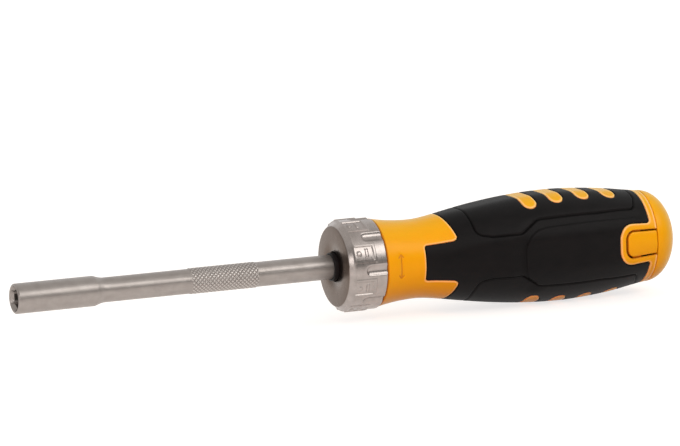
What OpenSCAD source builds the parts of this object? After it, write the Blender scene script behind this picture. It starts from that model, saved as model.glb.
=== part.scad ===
// Ratcheting screwdriver with a selector collar and a bit magazine in its handle.
// X runs along the tool from the mouth of the bit socket to the end cap. Y is sideways and Z is up.

/* [Shank] */
// Distance from the mouth of the bit socket to the selector collar
shank_reach = 113; // [100:1:150]
// Length of the thick bit holder
holder_len = 27.5; // [20:0.5:40]
// Radius of the bit holder
holder_r = 5; // [4.8:0.1:6]
// Length of the concave shoulder behind the bit holder
shoulder_len = 4; // [2:0.5:6]
// Radius of the round shaft
shaft_r = 4.1; // [3.8:0.05:4.3]
// Size across the flats of the hex socket
socket_af = 6.45; // [6.4:0.01:6.6]
// Depth of the hex socket
socket_depth = 14; // [10:0.5:16]
// Distance from the mouth to the start of the knurled band
knurl_start = 61; // [45:1:70]
// Length of the knurled band
knurl_len = 24; // [10:1:28]
// Height of the knurl above the shaft
knurl_rise = 0.1; // [0.05:0.01:0.2]

/* [Selector] */
// Length of the selector collar
collar_len = 13.2; // [13:0.1:15]
// Largest radius of the selector collar
collar_r = 15.2; // [15:0.1:16]
// Radius of the collar's front face
collar_face_r = 13.4; // [12:0.1:14]
// Inner radius of the collar
collar_bore_r = 13.3; // [13.2:0.05:13.5]
// Thickness of the collar's front wall
collar_wall = 2; // [1.5:0.1:2.1]
// Gap between the collar and the neck of the handle
collar_gap = 0.4; // [0.3:0.1:1]
// Number of grip scallops round the collar
scallops = 8; // [4:1:10]
// Depth of each scallop
scallop_depth = 0.85; // [0.4:0.05:0.9]
// Turn of the collar from locked to either direction, in degrees
selector_turn = 22.5; // [15:0.5:24]

/* [Ratchet] */
// Number of teeth on the ratchet gear
gear_teeth = 24; // [24:24:24]
// Outer radius of the ratchet gear
gear_r = 7.2; // [7:0.05:7.3]
// Height of the ratchet teeth
tooth_h = 1.1; // [0.9:0.05:1.2]
// Width of the ratchet gear along the tool
gear_w = 4.3; // [3.5:0.1:4.4]
// Distance of the pawl pins from the tool's axis
pawl_pin_reach = 9.6; // [9.5:0.05:9.8]
// Radius of the pawl pins
pawl_pin_r = 1; // [0.8:0.05:1.1]
// Swing of each pawl from locked to seated or clear, in degrees
pawl_swing = 6; // [5:0.25:6.5]
// Length of the housing's stem inside the neck
stem_len = 29.4; // [26:0.2:32]
// Radius of the housing's stem
stem_r = 8; // [7:0.1:8.2]

/* [Handle] */
// Length of the handle core from its neck face to the end cap
handle_len = 97.8; // [92:0.2:110]
// Radius of the neck face
neck_r = 14.8; // [14.2:0.1:15.2]
// Radius of the waist
waist_r = 13.2; // [13:0.1:14]
// Distance from the neck face to the waist
waist_at = 14.4; // [12:0.2:15]
// Radius of the belly, over the slots
belly_r = 18.4; // [18:0.1:21]
// Distance from the neck face to the belly
belly_at = 65.4; // [63:0.2:70]
// Radius of the handle at the end cap
rear_r = 15.45; // [15.2:0.05:16.5]
// How far the rounded edges between the four flats stand out past a round handle
corner_swell = 0.5; // [0.3:0.05:0.8]
// How far the side flats lie inside the top and bottom flats
side_flat = 0.3; // [0.1:0.05:0.5]
// Thickness of the moulded rubber
rubber_t = 2.2; // [1.8:0.1:2.4]

/* [Grip pattern] */
// Length of the neck ahead of the rubber tongue on each side
tongue_at = 14.4; // [13:0.2:16]
// Half the height of the tongue at its front
tongue_half = 6.05; // [5:0.05:7]
// Length of the two fingers of the core, top and bottom, from the neck face
finger_at = 26.3; // [24:0.1:28]
// Slots on the top and on the bottom of the grip
slots = 4; // [2:1:4]
// Distance between the slots
slot_pitch = 10.05; // [9.6:0.05:10.6]
// Width of a slot
slot_w = 5; // [4:0.1:5.2]
// Distance from the belly forward to the first slot
slot_lead = 11.7; // [10:0.1:16]
// Mean radius of each curved slot
slot_bend = 90; // [60:1:120]
// Length of the side frames ahead of the rear ring
frame_len = 12; // [11:0.2:14]
// Half the height of the side frames
frame_half = 6.95; // [6.6:0.05:7.6]
// Width of the ring behind the rubber
ring_len = 2.2; // [1.8:0.1:3]

/* [Magazine] */
// Radius of the bore that the magazine slides in
magazine_r = 12.8; // [12.75:0.01:12.85]
// Travel of the magazine
magazine_travel = 36; // [30:1:36]
// Height of the domed end cap
cap_dome = 10.3; // [9.8:0.1:14]
// Wall of the end cap
cap_wall = 2.1; // [1.8:0.05:2.2]
// Half the height of the latch tabs
tab_half = 4.25; // [3.8:0.05:4.35]
// Swing of the latch tabs when pressed, in degrees
tab_swing = 4.5; // [3.5:0.25:5]
// Number of bits in the magazine
bit_count = 6; // [6:1:6]
// Length of a bit
bit_len = 25; // [24:0.5:25.5]
// Size across the flats of a bit
bit_af = 6.35; // [6.3:0.01:6.4]
// Distance of the bits from the tool's axis
bit_reach = 8.6; // [8.55:0.05:8.7]

/* [Fits] */
// Radial clearance of a turning fit
running_fit = 0.05; // [0.03:0.01:0.08]
// Clearance between pieces that are fixed together
fixed_fit = 0.03; // [0.02:0.01:0.05]
// Clearance beside moving pieces
moving_gap = 0.3; // [0.25:0.05:0.35]
// Step between the rubber and the core
mould_gap = 0.05; // [0.03:0.01:0.08]

/* [Hidden] */

$fn = 72;
overrun = 1;      // how far a cut runs past the face that it opens
curve_steps = 9;  // straight steps in each stretch of the handle's outline
round_steps = 5;  // straight steps in each rounded corner of an outline

steel = "#b5aca8";
dark_steel = "#6f6862";
nickel = "#a59d99";
yellow = "#efa01c";
black = "#201e20";

neck_x = shank_reach + collar_len + collar_gap;
waist_x = neck_x + waist_at;
belly_x = neck_x + belly_at;
rear_x = neck_x + handle_len;
ring_x = rear_x - ring_len;

// Curves and outlines

function bezier(p, t) = pow(1 - t, 3) * p[0] + 3 * pow(1 - t, 2) * t * p[1]
    + 3 * (1 - t) * t * t * p[2] + pow(t, 3) * p[3];
function ease(t) = let(c = min(1, max(0, t))) c * c * (3 - 2 * c);
function unit(v) = v / norm(v);
function polar(r, a) = [r * cos(a), r * sin(a)];

// One corner of an outline, as an arc of radius r between the sides to a and to c
function corner(a, b, c, r) = r == 0 ? [b] :
    let(u = unit(a - b), v = unit(c - b), half = acos(u * v) / 2,
        centre = b + unit(u + v) * r / sin(half), p = b + u * r / tan(half) - centre,
        sweep = (180 - 2 * half) * sign(cross(p, b + v * r / tan(half) - centre)))
    [for (i = [0:round_steps]) centre + polar(r, atan2(p[1], p[0]) + sweep * i / round_steps)];

// An outline with a radius for each of its corners
function rounded(points, radii) = let(n = len(points))
    [for (i = [0:n - 1]) each corner(points[(i + n - 1) % n], points[i], points[(i + 1) % n], radii[i])];

// Outlines drawn as (radius, X) and turned about the tool's axis
module turned() {
    rotate([0, 90, 0]) rotate_extrude() children();
}

// Outlines drawn as (Y, Z) and extruded along X
module slab(x0, x1) {
    translate([x0, 0, 0]) rotate([90, 0, 90]) linear_extrude(x1 - x0) children();
}

// Outlines drawn as (X, Z) and extruded along Y
module side_prism(y0, y1) {
    translate([0, y1, 0]) rotate([90, 0, 0]) linear_extrude(y1 - y0) children();
}

module rod(x0, x1, r) {
    translate([x0, 0, 0]) rotate([0, 90, 0]) cylinder(h = x1 - x0, r = r);
}

module hex_rod(x0, x1, af) {
    translate([x0, 0, 0]) rotate([0, 90, 0]) cylinder(h = x1 - x0, r = af / sqrt(3), $fn = 6);
}

module tube(x0, x1, r_out, r_in) {
    turned() translate([r_in, x0]) square([r_out - r_in, x1 - x0]);
}

// A coil spring that rises along Z from the origin, as one swept tube
spring_sides = 6;
spring_steps = 12;
function coil_point(i, k, coil_r, wire_r, height, turns) =
    let(a = 360 * i / spring_steps, b = 360 * k / spring_sides, r = coil_r + wire_r * cos(b))
    [r * cos(a), r * sin(a), height * i / (turns * spring_steps) + wire_r * sin(b)];
module coil(coil_r, wire_r, height, turns) {
    rings = turns * spring_steps;
    n = spring_sides;
    polyhedron(
        points = [for (i = [0:rings], k = [0:n - 1]) coil_point(i, k, coil_r, wire_r, height, turns)],
        faces = concat(
            [[for (k = [n - 1:-1:0]) k]],
            [for (i = [0:rings - 1], k = [0:n - 1]) each
                [[i * n + k, i * n + (k + 1) % n, (i + 1) * n + k],
                 [i * n + (k + 1) % n, (i + 1) * n + (k + 1) % n, (i + 1) * n + k]]],
            [[for (k = [0:n - 1]) rings * n + k]]));
}

// Shank

cover_t = 1.8;           // plate that covers the ratchet
cover_front = shank_reach + collar_wall + moving_gap;
cover_back = cover_front + cover_t;
gear_front = cover_back + moving_gap;
gear_back = gear_front + gear_w;
gear_mid = (gear_front + gear_back) / 2;
tang_af = 6;             // hexagon that drives the gear
journal_r = 3;           // rear journal of the shank
thrust_room = 6.4;       // room behind the journal for the thrust ball and its plug
journal_end = neck_x + stem_len - thrust_room;
mouth_bevel = 0.5;       // bevel round the mouth of the bit holder
magnet_r = 2.9;
magnet_t = 2.2;
ring_groove_x = 4.2;     // centre of the bit retaining ring
ring_wire_r = 0.35;
ring_bit_gap = 0.1;      // from the ring to the flats of a bit
ring_coil_r = bit_af / 2 + ring_wire_r + ring_bit_gap;
clip_t = 0.8;
clip_setback = 2;        // from the front of the clip to the end of the journal
clip_x = journal_end - clip_setback;
clip_groove = 0.7;       // depth of the clip's groove
clip_stand = 1;          // how far the clip stands out of the journal
ball_r = 1.5;            // thrust ball

function shoulder_point(t) =
    [shaft_r + (holder_r - shaft_r) * (1 - sin(90 * t)), holder_len + shoulder_len * (1 - cos(90 * t))];

module bit_holder_shank() {
    color(steel) difference() {
        union() {
            turned() polygon(concat(
                [[0, 0], [holder_r - mouth_bevel, 0], [holder_r - mouth_bevel / 4, mouth_bevel / 2],
                 [holder_r, mouth_bevel * 3 / 2]],
                [for (i = [0:round_steps]) shoulder_point(i / round_steps)],
                [[shaft_r, knurl_start], [shaft_r + knurl_rise, knurl_start + knurl_rise],
                 [shaft_r + knurl_rise, knurl_start + knurl_len - knurl_rise],
                 [shaft_r, knurl_start + knurl_len], [shaft_r, gear_front - fixed_fit],
                 [0, gear_front - fixed_fit]]));
            hex_rod(gear_front - overrun, gear_back, tang_af);
            rod(gear_back - overrun, journal_end, journal_r);
        }
        hex_rod(-overrun, socket_depth, socket_af);
        rod(socket_depth - overrun, socket_depth + magnet_t + fixed_fit, magnet_r + fixed_fit);
        rotate([0, 90, 0]) translate([0, 0, ring_groove_x]) rotate_extrude()
            translate([ring_coil_r, 0]) circle(r = ring_wire_r + fixed_fit, $fn = 16);
        tube(clip_x - fixed_fit, clip_x + clip_t + fixed_fit, journal_r + overrun, journal_r - clip_groove);
        translate([journal_end + ball_r * 2 / 3, 0, 0]) sphere(r = ball_r + running_fit);
    }
}

module socket_magnet() {
    color(dark_steel) rod(socket_depth, socket_depth + magnet_t, magnet_r);
}

module bit_retaining_ring() {
    color(dark_steel) rotate([0, 90, 0]) translate([0, 0, ring_groove_x]) rotate([0, 0, 30])
        rotate_extrude(angle = 300) translate([ring_coil_r, 0]) circle(r = ring_wire_r, $fn = 16);
}

tooth_land_share = 0.19;   // share of the tooth pitch that is flat, at the tip and at the root
module ratchet_gear() {
    pitch = 360 / gear_teeth;
    root_r = gear_r - tooth_h;
    land = pitch * tooth_land_share / 2;
    color(dark_steel) difference() {
        slab(gear_front, gear_back) polygon([for (i = [0:gear_teeth - 1]) each
            [polar(root_r, i * pitch + land), polar(gear_r, (i + 0.5) * pitch - land),
             polar(gear_r, (i + 0.5) * pitch + land), polar(root_r, (i + 1) * pitch - land)]]);
        hex_rod(gear_front - overrun, gear_back + overrun, tang_af + 2 * fixed_fit);
    }
}

module spindle_clip() {
    color(dark_steel) rotate([0, 90, 0]) translate([0, 0, clip_x]) rotate([0, 0, 30])
        rotate_extrude(angle = 300) translate([journal_r - clip_groove + fixed_fit, 0])
        square([clip_groove + clip_stand, clip_t]);
}

// Ratchet housing, fixed in the handle

plate_front = gear_back + moving_gap;
plate_t = 2.6;
plate_back = plate_front + plate_t;
plate_r = collar_bore_r - moving_gap;
cover_r = 11.8;
hub_r = 9.5;             // step of the housing that seats on the neck
spacer_in_r = 8.4;
spacer_half = 75;        // half the sweep of the spacer under the gear, in degrees
screw_angles = [228, 270, 312];
screw_reach = 10;
screw_r = 0.9;
screw_head_r = 1.75;
screw_len = 4.8;
stem_key = 7.4;          // length of the stem that is round, ahead of its hexagon
bush_r = 4.6;
bush_clip_gap = 4;       // from the rear bush to the clip
bush_end = clip_x - bush_clip_gap;
lip_t = 1.6;             // lip that stops the rear bush
lip_gap = 0.4;           // from the lip to the journal
pin_seat = 1.6;          // depth of the pawl pins' holes in the housing
front_bush_r = 5.3;
front_bush_recess = 0.4;
front_bush_nose = 1.4;   // how far its lip stands out of the collar, round the shaft
front_bush_lip_t = 0.6;
plug_r = 5.2;
plug_t = 4;
detent_ball_r = 0.8;
detent_angle = 292.5;
detent_sink = 0.25;      // how far the ball's centre lies inside the rim of the housing
detent_reach = plate_r - detent_sink;
detent_x = (plate_front + plate_back) / 2;
detent_depth = 3.4;      // depth of the radial hole for the detent's spring
spring_reach = 10.1;     // distance of the pawl springs from the XZ plane
spring_pocket_r = 1.15;
spring_pocket_z = -4.2;  // bottom of the pawl springs' pockets
thrust_x = journal_end + ball_r * 2 / 3;

module at_detent(angle) {
    translate([detent_x, 0, 0]) rotate([angle, 0, 0]) children();
}

module sector(r_in, r_out, middle, half) {
    intersection() {
        difference() {
            circle(r = r_out);
            circle(r = r_in);
        }
        polygon(concat([[0, 0]], [for (i = [-3:3]) polar(2 * r_out, middle + half * i / 3)]));
    }
}

module ratchet_housing() {
    color(nickel) difference() {
        union() {
            slab(cover_back, plate_front + overrun) sector(spacer_in_r, cover_r - fixed_fit, 270, spacer_half);
            rod(plate_front, plate_back, plate_r);
            rod(plate_back - overrun, neck_x - fixed_fit, hub_r);
            rod(neck_x - overrun, neck_x + stem_key, stem_r);
            hex_rod(neck_x + stem_key - overrun, neck_x + stem_len, stem_r * sqrt(3));
        }
        rod(plate_front - overrun, plate_front + lip_t + overrun, journal_r + lip_gap);
        rod(plate_front + lip_t, neck_x + stem_len + overrun, bush_r + fixed_fit);
        rod(bush_end, neck_x + stem_len + overrun, plug_r + fixed_fit);
        for (side = [-1, 1])
            translate([plate_front - overrun, side * pawl_pin[0], pawl_pin[1]])
                rod(0, overrun + pin_seat, pawl_pin_r + fixed_fit);
        for (a = screw_angles) translate([cover_back - overrun, 0, 0]) rotate([a, 0, 0])
            translate([0, screw_reach, 0]) rod(0, overrun + screw_len, screw_r + fixed_fit);
        for (side = [-1, 1])
            translate([gear_mid, side * spring_reach, spring_pocket_z])
                cylinder(h = -spring_pocket_z, r = spring_pocket_r);
        at_detent(detent_angle) translate([0, plate_r - detent_depth, 0]) rotate([-90, 0, 0])
            cylinder(h = detent_depth + overrun, r = detent_ball_r + running_fit);
    }
}

module housing_cover() {
    color(nickel) difference() {
        rod(cover_front, cover_back - fixed_fit, cover_r);
        rod(cover_front - overrun, cover_back + overrun, front_bush_r + fixed_fit);
        for (side = [-1, 1])
            translate([0, side * pawl_pin[0], pawl_pin[1]])
                rod(cover_front - overrun, cover_back + overrun, pawl_pin_r + fixed_fit);
        for (a = screw_angles) rotate([a, 0, 0]) translate([0, screw_reach, 0]) {
            rod(cover_front - overrun, cover_back + overrun, screw_r + fixed_fit);
            rod(cover_front - overrun, cover_front + screw_r + fixed_fit, screw_head_r + fixed_fit);
        }
    }
}

module cover_screws() {
    for (a = screw_angles) color(dark_steel) rotate([a, 0, 0]) translate([0, screw_reach, 0])
        difference() {
            union() {
                rod(cover_front + fixed_fit, cover_front + screw_r, screw_head_r);
                rod(cover_front + fixed_fit, cover_back + screw_len - fixed_fit, screw_r);
            }
            hex_rod(cover_front - overrun, cover_front + screw_r, screw_r);
        }
}

module front_bush() {
    bore = shaft_r + running_fit;
    color(black) {
        tube(shank_reach + front_bush_recess, cover_back, front_bush_r, bore);
        tube(shank_reach - front_bush_nose, cover_back, bore + front_bush_lip_t, bore);
    }
}

module rear_bush() {
    color("#b08d4f") tube(plate_front + lip_t + fixed_fit, bush_end, bush_r, journal_r + running_fit);
}

module thrust_ball() {
    color(steel) translate([thrust_x, 0, 0]) sphere(r = ball_r);
}

module thrust_plug() {
    color(dark_steel) difference() {
        rod(neck_x + stem_len - plug_t, neck_x + stem_len, plug_r);
        translate([thrust_x, 0, 0]) sphere(r = ball_r + running_fit);
        hex_rod(neck_x + stem_len - plug_t / 2, neck_x + stem_len + overrun, plug_r);
    }
}

module detent_ball() {
    color(steel) at_detent(detent_angle) translate([0, detent_reach, 0]) sphere(r = detent_ball_r);
}

detent_wire_r = 0.14;
module detent_spring() {
    bottom = plate_r - detent_depth + detent_wire_r + fixed_fit;
    color(dark_steel) at_detent(detent_angle) translate([0, bottom, 0]) rotate([-90, 0, 0])
        coil(detent_ball_r - 2 * detent_wire_r, detent_wire_r,
             detent_reach - detent_ball_r - bottom - detent_wire_r, 4);
}

// Pawls. The tip, the arm and the tail are laid out about the reverse pawl, whose tip is at tip_angle.

tip_angle = 360 / gear_teeth * 5;
tip_depth_share = 0.23;                // share of the tooth that the tip reaches into when locked
tip_r = gear_r - tooth_h * tip_depth_share;
tip_h = 1.25;                          // height of the tip's wedge
arm_lift = 1.9;                        // from the end of the tip to the middle of the arm
tip_w = 0.32;                          // width of the pawl's tip
tip_flank_share = 0.56;                // half width that the tip gains, as a share of its height
pawl_arm_len = 6.2;                    // from the pin to the tip
pawl_boss_r = 2;
pawl_tail_len = 3.4;
pawl_tail_r = 0.7;
pawl_arm_half = 0.75;
// Angle between the pin and the tip, seen from the tool's axis
pin_lag = acos((pow(pawl_pin_reach, 2) + pow(tip_r, 2) - pow(pawl_arm_len, 2))
    / (2 * pawl_pin_reach * tip_r));
pawl_pin = polar(pawl_pin_reach, tip_angle - pin_lag);
arm_root = polar(tip_r + arm_lift, tip_angle);
arm_line = unit(arm_root - pawl_pin);
tail_end = pawl_pin - pawl_tail_len * arm_line;

// A straight link between two points, with a half width at each
module link(p, q, half_p, half_q) {
    n = [-unit(q - p)[1], unit(q - p)[0]];
    polygon([p + half_p * n, p - half_p * n, q - half_q * n, q + half_q * n]);
}

module pawl_outline() {
    translate(pawl_pin) circle(r = pawl_boss_r);
    link(pawl_pin, arm_root, pawl_boss_r / 2, pawl_arm_half);
    link(pawl_pin, tail_end, pawl_boss_r / 2, pawl_tail_r);
    translate(tail_end) circle(r = pawl_tail_r);
    rotate(tip_angle) polygon([[tip_r, -tip_w / 2], [tip_r + tip_h, -tip_w / 2 - tip_h * tip_flank_share],
        [tip_r + tip_h, tip_w / 2 + tip_h * tip_flank_share], [tip_r, tip_w / 2]]);
}

module pawl() {
    color(dark_steel) slab(gear_front, gear_back) difference() {
        pawl_outline();
        translate(pawl_pin) circle(r = pawl_pin_r + running_fit);
    }
}

module pawl_reverse() {
    pawl();
}

module pawl_forward() {
    mirror([0, 1, 0]) pawl();
}

module pawl_pins() {
    for (side = [-1, 1]) color(steel) translate([0, side * pawl_pin[0], pawl_pin[1]])
        rod(cover_front + fixed_fit, plate_front + pin_seat - fixed_fit, pawl_pin_r);
}

pawl_wire_r = 0.16;
pawl_spring_gap = 0.45;      // room for the tail to swing down
module pawl_spring(side) {
    bottom = spring_pocket_z + pawl_wire_r + fixed_fit;
    color(steel) translate([gear_mid, side * spring_reach, bottom])
        coil(spring_pocket_r - 2 * pawl_wire_r, pawl_wire_r,
             tail_end[1] - pawl_tail_r - pawl_spring_gap - bottom - pawl_wire_r, 5);
}

module pawl_spring_reverse() {
    pawl_spring(1);
}

module pawl_spring_forward() {
    pawl_spring(-1);
}

// Selector collar, with a ramp inside that sets how far each pawl swings

cam_rest_gap = 0.16;         // clearance between the ramp and a pawl's tail
cam_overlap = 7;             // the ramp runs on past each end of the turn, in degrees
tail_angle = atan2(tail_end[1], tail_end[0]);
tail_reach = norm(tail_end) + pawl_tail_r;
// How much the tail's reach changes over one swing
tail_shift = pawl_tail_len * sin(pawl_swing) * abs(cross(unit(tail_end), arm_line));
ring_t = 1;
ring_x0 = plate_back + moving_gap;
groove_over = 0.45;          // depth of the retaining ring's groove
ring_w = 1.8;                // how far the retaining ring reaches in from the housing's rim
mark_rise = 0.3;
mark_half = 10;              // half the sweep of a raised mark, in degrees
mark_at = 2;                 // from the collar's face to the marks
mark_len = 7.2;
scallop_r = 2.4;
scallop_at = 5;              // from the collar's face to the scallops
face_bevel = 1.8;            // length of the bevel behind the face
taper = 0.05;                // how much the collar still widens behind the bevel
taper_len = 8.5;
rear_edge = 0.4;             // chamfer of the rear edge

function ramp_r(a) = tail_reach + cam_rest_gap - tail_shift * (a - tail_angle) / selector_turn;

module cam_ramp() {
    low = tail_angle - selector_turn - cam_overlap;
    span = 2 * (selector_turn + cam_overlap);
    steps = 14;
    polygon(concat(
        [for (i = [0:steps]) polar(ramp_r(low + span * i / steps), low + span * i / steps)],
        [for (i = [steps:-1:0]) polar(collar_bore_r + fixed_fit, low + span * i / steps)]));
}

function collar_outline(rise) = [
    [collar_face_r, shank_reach],
    [collar_face_r + (collar_r - collar_face_r) * 2 / 3 + rise / 2, shank_reach + face_bevel],
    [collar_r - taper + rise, shank_reach + taper_len],
    [collar_r + rise, shank_reach + collar_len - rear_edge],
    [collar_r - rear_edge + rise, shank_reach + collar_len]];

module collar_body() {
    turned() polygon(concat([[0, shank_reach]], collar_outline(0), [[0, shank_reach + collar_len]]));
}

module collar_marks() {
    for (i = [0:scallops - 1]) rotate([(i + 0.5) * 360 / scallops, 0, 0]) intersection() {
        turned() polygon(concat([[0, shank_reach]], collar_outline(mark_rise),
            [[0, shank_reach + collar_len]]));
        slab(shank_reach + mark_at, shank_reach + mark_at + mark_len)
            sector(collar_face_r, 2 * collar_r, 0, mark_half);
    }
}

module selector_collar() {
    cavity_x = shank_reach + collar_wall;
    color(nickel) difference() {
        union() {
            difference() {
                union() {
                    collar_body();
                    collar_marks();
                }
                rod(cavity_x, shank_reach + collar_len + overrun, collar_bore_r);
            }
            for (side = [0, 1]) mirror([0, side, 0]) slab(cavity_x - fixed_fit, plate_front - moving_gap)
                cam_ramp();
        }
        rod(shank_reach - overrun, cavity_x + overrun, front_bush_r + moving_gap);
        for (i = [0:scallops - 1]) rotate([i * 360 / scallops, 0, 0])
            translate([shank_reach + scallop_at + scallop_r, collar_r + scallop_r - scallop_depth, 0]) {
                rod(0, collar_len, scallop_r);
                sphere(r = scallop_r);
            }
        rotate([0, 90, 0]) translate([0, 0, detent_x]) rotate_extrude()
            translate([detent_reach, 0]) circle(r = detent_ball_r + running_fit, $fn = 24);
        for (turn = [-1:1]) at_detent(detent_angle + turn * selector_turn) translate([0, detent_reach, 0])
            sphere(r = detent_ball_r + 2 * running_fit);
        tube(ring_x0 - fixed_fit, ring_x0 + ring_t + fixed_fit, collar_bore_r + groove_over + fixed_fit,
            collar_bore_r - overrun);
    }
}

module collar_retaining_ring() {
    color(dark_steel) rotate([0, 90, 0]) translate([0, 0, ring_x0]) rotate([0, 0, 20])
        rotate_extrude(angle = 320) translate([plate_r - ring_w, 0])
        square([collar_bore_r + groove_over - plate_r + ring_w, ring_t]);
}

// Handle form. Three curves give its profile, and four long flats are cut along the grip.

// Where the middle points of the curves lie, as shares of each curve's length and height
rise_shares = [0.176, 0.53];
fall_shares = [0.31, 0.69, 0.47];
neck_curve = [[neck_x, neck_r], [neck_x + waist_at / 3, waist_r + (neck_r - waist_r) / 3],
    [waist_x - waist_at / 3, waist_r], [waist_x, waist_r]];
rise_len = belly_x - waist_x;
swell_curve = [[waist_x, waist_r], [waist_x + rise_shares[0] * rise_len, waist_r],
    [waist_x + rise_shares[1] * rise_len, belly_r], [belly_x, belly_r]];
fall_len = rear_x - belly_x;
rear_curve = [[belly_x, belly_r], [belly_x + fall_shares[0] * fall_len, belly_r],
    [belly_x + fall_shares[1] * fall_len, rear_r + fall_shares[2] * (belly_r - rear_r)], [rear_x, rear_r]];
profile = concat(
    [for (i = [0:curve_steps - 1]) bezier(neck_curve, i / curve_steps)],
    [for (i = [0:curve_steps - 1]) bezier(swell_curve, i / curve_steps)],
    [for (i = [0:curve_steps]) bezier(rear_curve, i / curve_steps)]);
last = len(profile) - 1;
flat_relief = 0.3;       // how far the flats stand clear of the round neck and rear
flat_run_in = 24;        // length over which the flats grow from the waist
flat_run_out = 14;       // length over which they fade again ahead of the rear ring

function fullness(x) = ease((x - waist_x) / flat_run_in) * ease((ring_x - x) / flat_run_out);
function round_r(p) = p[1] + corner_swell * fullness(p[0]);
function flat_r(p, drop) = p[1] + flat_relief - (flat_relief + drop) * fullness(p[0]);

module handle_round(inset) {
    turned() polygon(concat([[0, neck_x]], [for (p = profile) [round_r(p) - inset, p[0]]], [[0, rear_x]]));
}

module flat_outline(drop) {
    upper = concat([[neck_x - overrun, neck_r + flat_relief]], [for (p = profile) [p[0], flat_r(p, drop)]],
        [[rear_x + overrun, rear_r + flat_relief]]);
    polygon(concat(upper, [for (i = [len(upper) - 1:-1:0]) [upper[i][0], -upper[i][1]]]));
}

module handle_form() {
    reach = belly_r + corner_swell + overrun;
    intersection() {
        handle_round(0);
        side_prism(-reach, reach) flat_outline(0);
        translate([0, 0, -reach]) linear_extrude(2 * reach) flat_outline(side_flat);
    }
}

// Where the yellow core comes through the rubber, each grown by a clearance

wide = 2 * belly_r;
tongue_spread = 0.95;     // how much taller the tongue is at the end of the fingers
finger_bow = 2.7;         // how far the ends of the fingers bow back towards the sides
tongue_corner_r = 1;
finger_corner_r = 2;
frame_corner_r = 5.2;
inner_corner_r = 1.2;

module neck_zone(grow) {
    x_tongue = neck_x + tongue_at + grow;
    x_finger = neck_x + finger_at + grow;
    half = tongue_half - grow;
    bow_steps = 5;
    intersection() {
        side_prism(-wide, wide) polygon(rounded(
            [[neck_x - overrun, -wide], [x_finger, -wide], [x_finger, -half - tongue_spread],
             [x_tongue, -half], [x_tongue, half], [x_finger, half + tongue_spread],
             [x_finger, wide], [neck_x - overrun, wide]],
            [0, 0, finger_corner_r, tongue_corner_r, tongue_corner_r, finger_corner_r, 0, 0]));
        translate([0, 0, -wide]) linear_extrude(2 * wide) polygon(concat(
            [for (i = [-bow_steps:bow_steps]) let(y = 1.2 * waist_r * i / bow_steps)
                [x_finger - finger_bow + finger_bow * pow(y / waist_r, 2), y]],
            [[x_finger + finger_bow, wide], [neck_x - overrun, wide], [neck_x - overrun, -wide],
             [x_finger + finger_bow, -wide]]));
    }
}

module rear_zone(grow) {
    nose = ring_x - frame_len - grow;
    half = frame_half + grow;
    end = rear_x + overrun;
    ring = ring_x - grow;
    side_prism(-wide, wide) polygon(rounded(
        [[nose, -half], [ring, -half], [ring, -wide], [end, -wide], [end, wide], [ring, wide],
         [ring, half], [nose, half]],
        [frame_corner_r, inner_corner_r, 0, 0, 0, 0, inner_corner_r, frame_corner_r]));
}

// How far the first slot reaches from the middle line: the slots get shorter towards the rear
slot_reach = 8.5;
slot_shorten = 0.85;
module slot_zone(i, grow) {
    apex = belly_x - slot_lead + i * slot_pitch;
    half = asin((slot_reach - slot_shorten * i) / slot_bend);
    r = slot_w / 2 + grow;
    steps = 6;
    arc = [for (k = [-steps:steps]) 180 + half * k / steps];
    cap = [for (k = [1:round_steps - 1]) 180 * k / round_steps];
    translate([apex + slot_bend, 0, -wide]) linear_extrude(2 * wide) polygon(concat(
        [for (a = arc) polar(slot_bend + r, a)],
        [for (k = cap) polar(slot_bend, 180 + half) + polar(r, 180 + half + k)],
        [for (k = [len(arc) - 1:-1:0]) polar(slot_bend - r, arc[k])],
        [for (k = cap) polar(slot_bend, 180 - half) + polar(r, 360 - half + k)]));
}

module yellow_zones(grow) {
    neck_zone(grow);
    rear_zone(grow);
    for (i = [0:slots - 1]) slot_zone(i, grow);
}

// Handle core

bore_hex_clear = 2 * fixed_fit;
front_hollow_r = 9.5;
cap_gap = 0.25;
cap_x = rear_x + cap_gap;
seat_lead = 6.4;                             // magazine left in its bore at the end of its travel
seat_x = rear_x - magazine_travel - seat_lead;
frame_band = 2.2;                            // height of the frame above and below its notch
frame_nose = 2.1;                            // length of the frame ahead of its notch
notch_wall = frame_half - frame_band;        // half the height of the notch for a latch tab
notch_nose = ring_x - frame_len + frame_nose;
notch_corner_r = 3.2;
lug_half = 5.1;                              // half the height over a latch tab's lugs
lug_t = 1;
tab_lift = 0.6;                              // from the magazine's bore to the latch tabs
tab_in = magazine_r + tab_lift;
lug_out = tab_in + lug_t;
lip_in = lug_out + moving_gap;
bulkhead_t = 1;                              // core left behind the housing's stem

module u_shape(nose, half, corner_r, end) {
    polygon(rounded([[nose, -half], [end, -half], [end, half], [nose, half]], [corner_r, 0, 0, corner_r]));
}

module handle_core() {
    bulkhead = neck_x + stem_len + bulkhead_t;
    color(yellow) difference() {
        union() {
            intersection() {
                handle_form();
                yellow_zones(0);
            }
            intersection() {
                handle_round(rubber_t);
                rod(neck_x + tongue_at / 2, rear_x - ring_len / 2, wide);
            }
        }
        rod(neck_x - overrun, neck_x + stem_key, stem_r + fixed_fit);
        hex_rod(neck_x + stem_key - overrun, bulkhead, stem_r * sqrt(3) + bore_hex_clear);
        rod(bulkhead - overrun, seat_x + overrun, front_hollow_r);
        rod(seat_x, rear_x + overrun, magazine_r);
        side_prism(-wide, wide) u_shape(notch_nose, notch_wall, notch_corner_r, rear_x + overrun);
        side_prism(-lip_in, lip_in) u_shape(notch_nose, lug_half + moving_gap, notch_corner_r, rear_x + overrun);
    }
}

module rubber_grip() {
    color(black) difference() {
        handle_form();
        handle_round(rubber_t - mould_gap);
        yellow_zones(mould_gap);
    }
}

// Magazine: end cap, bit carrier and bits

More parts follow.
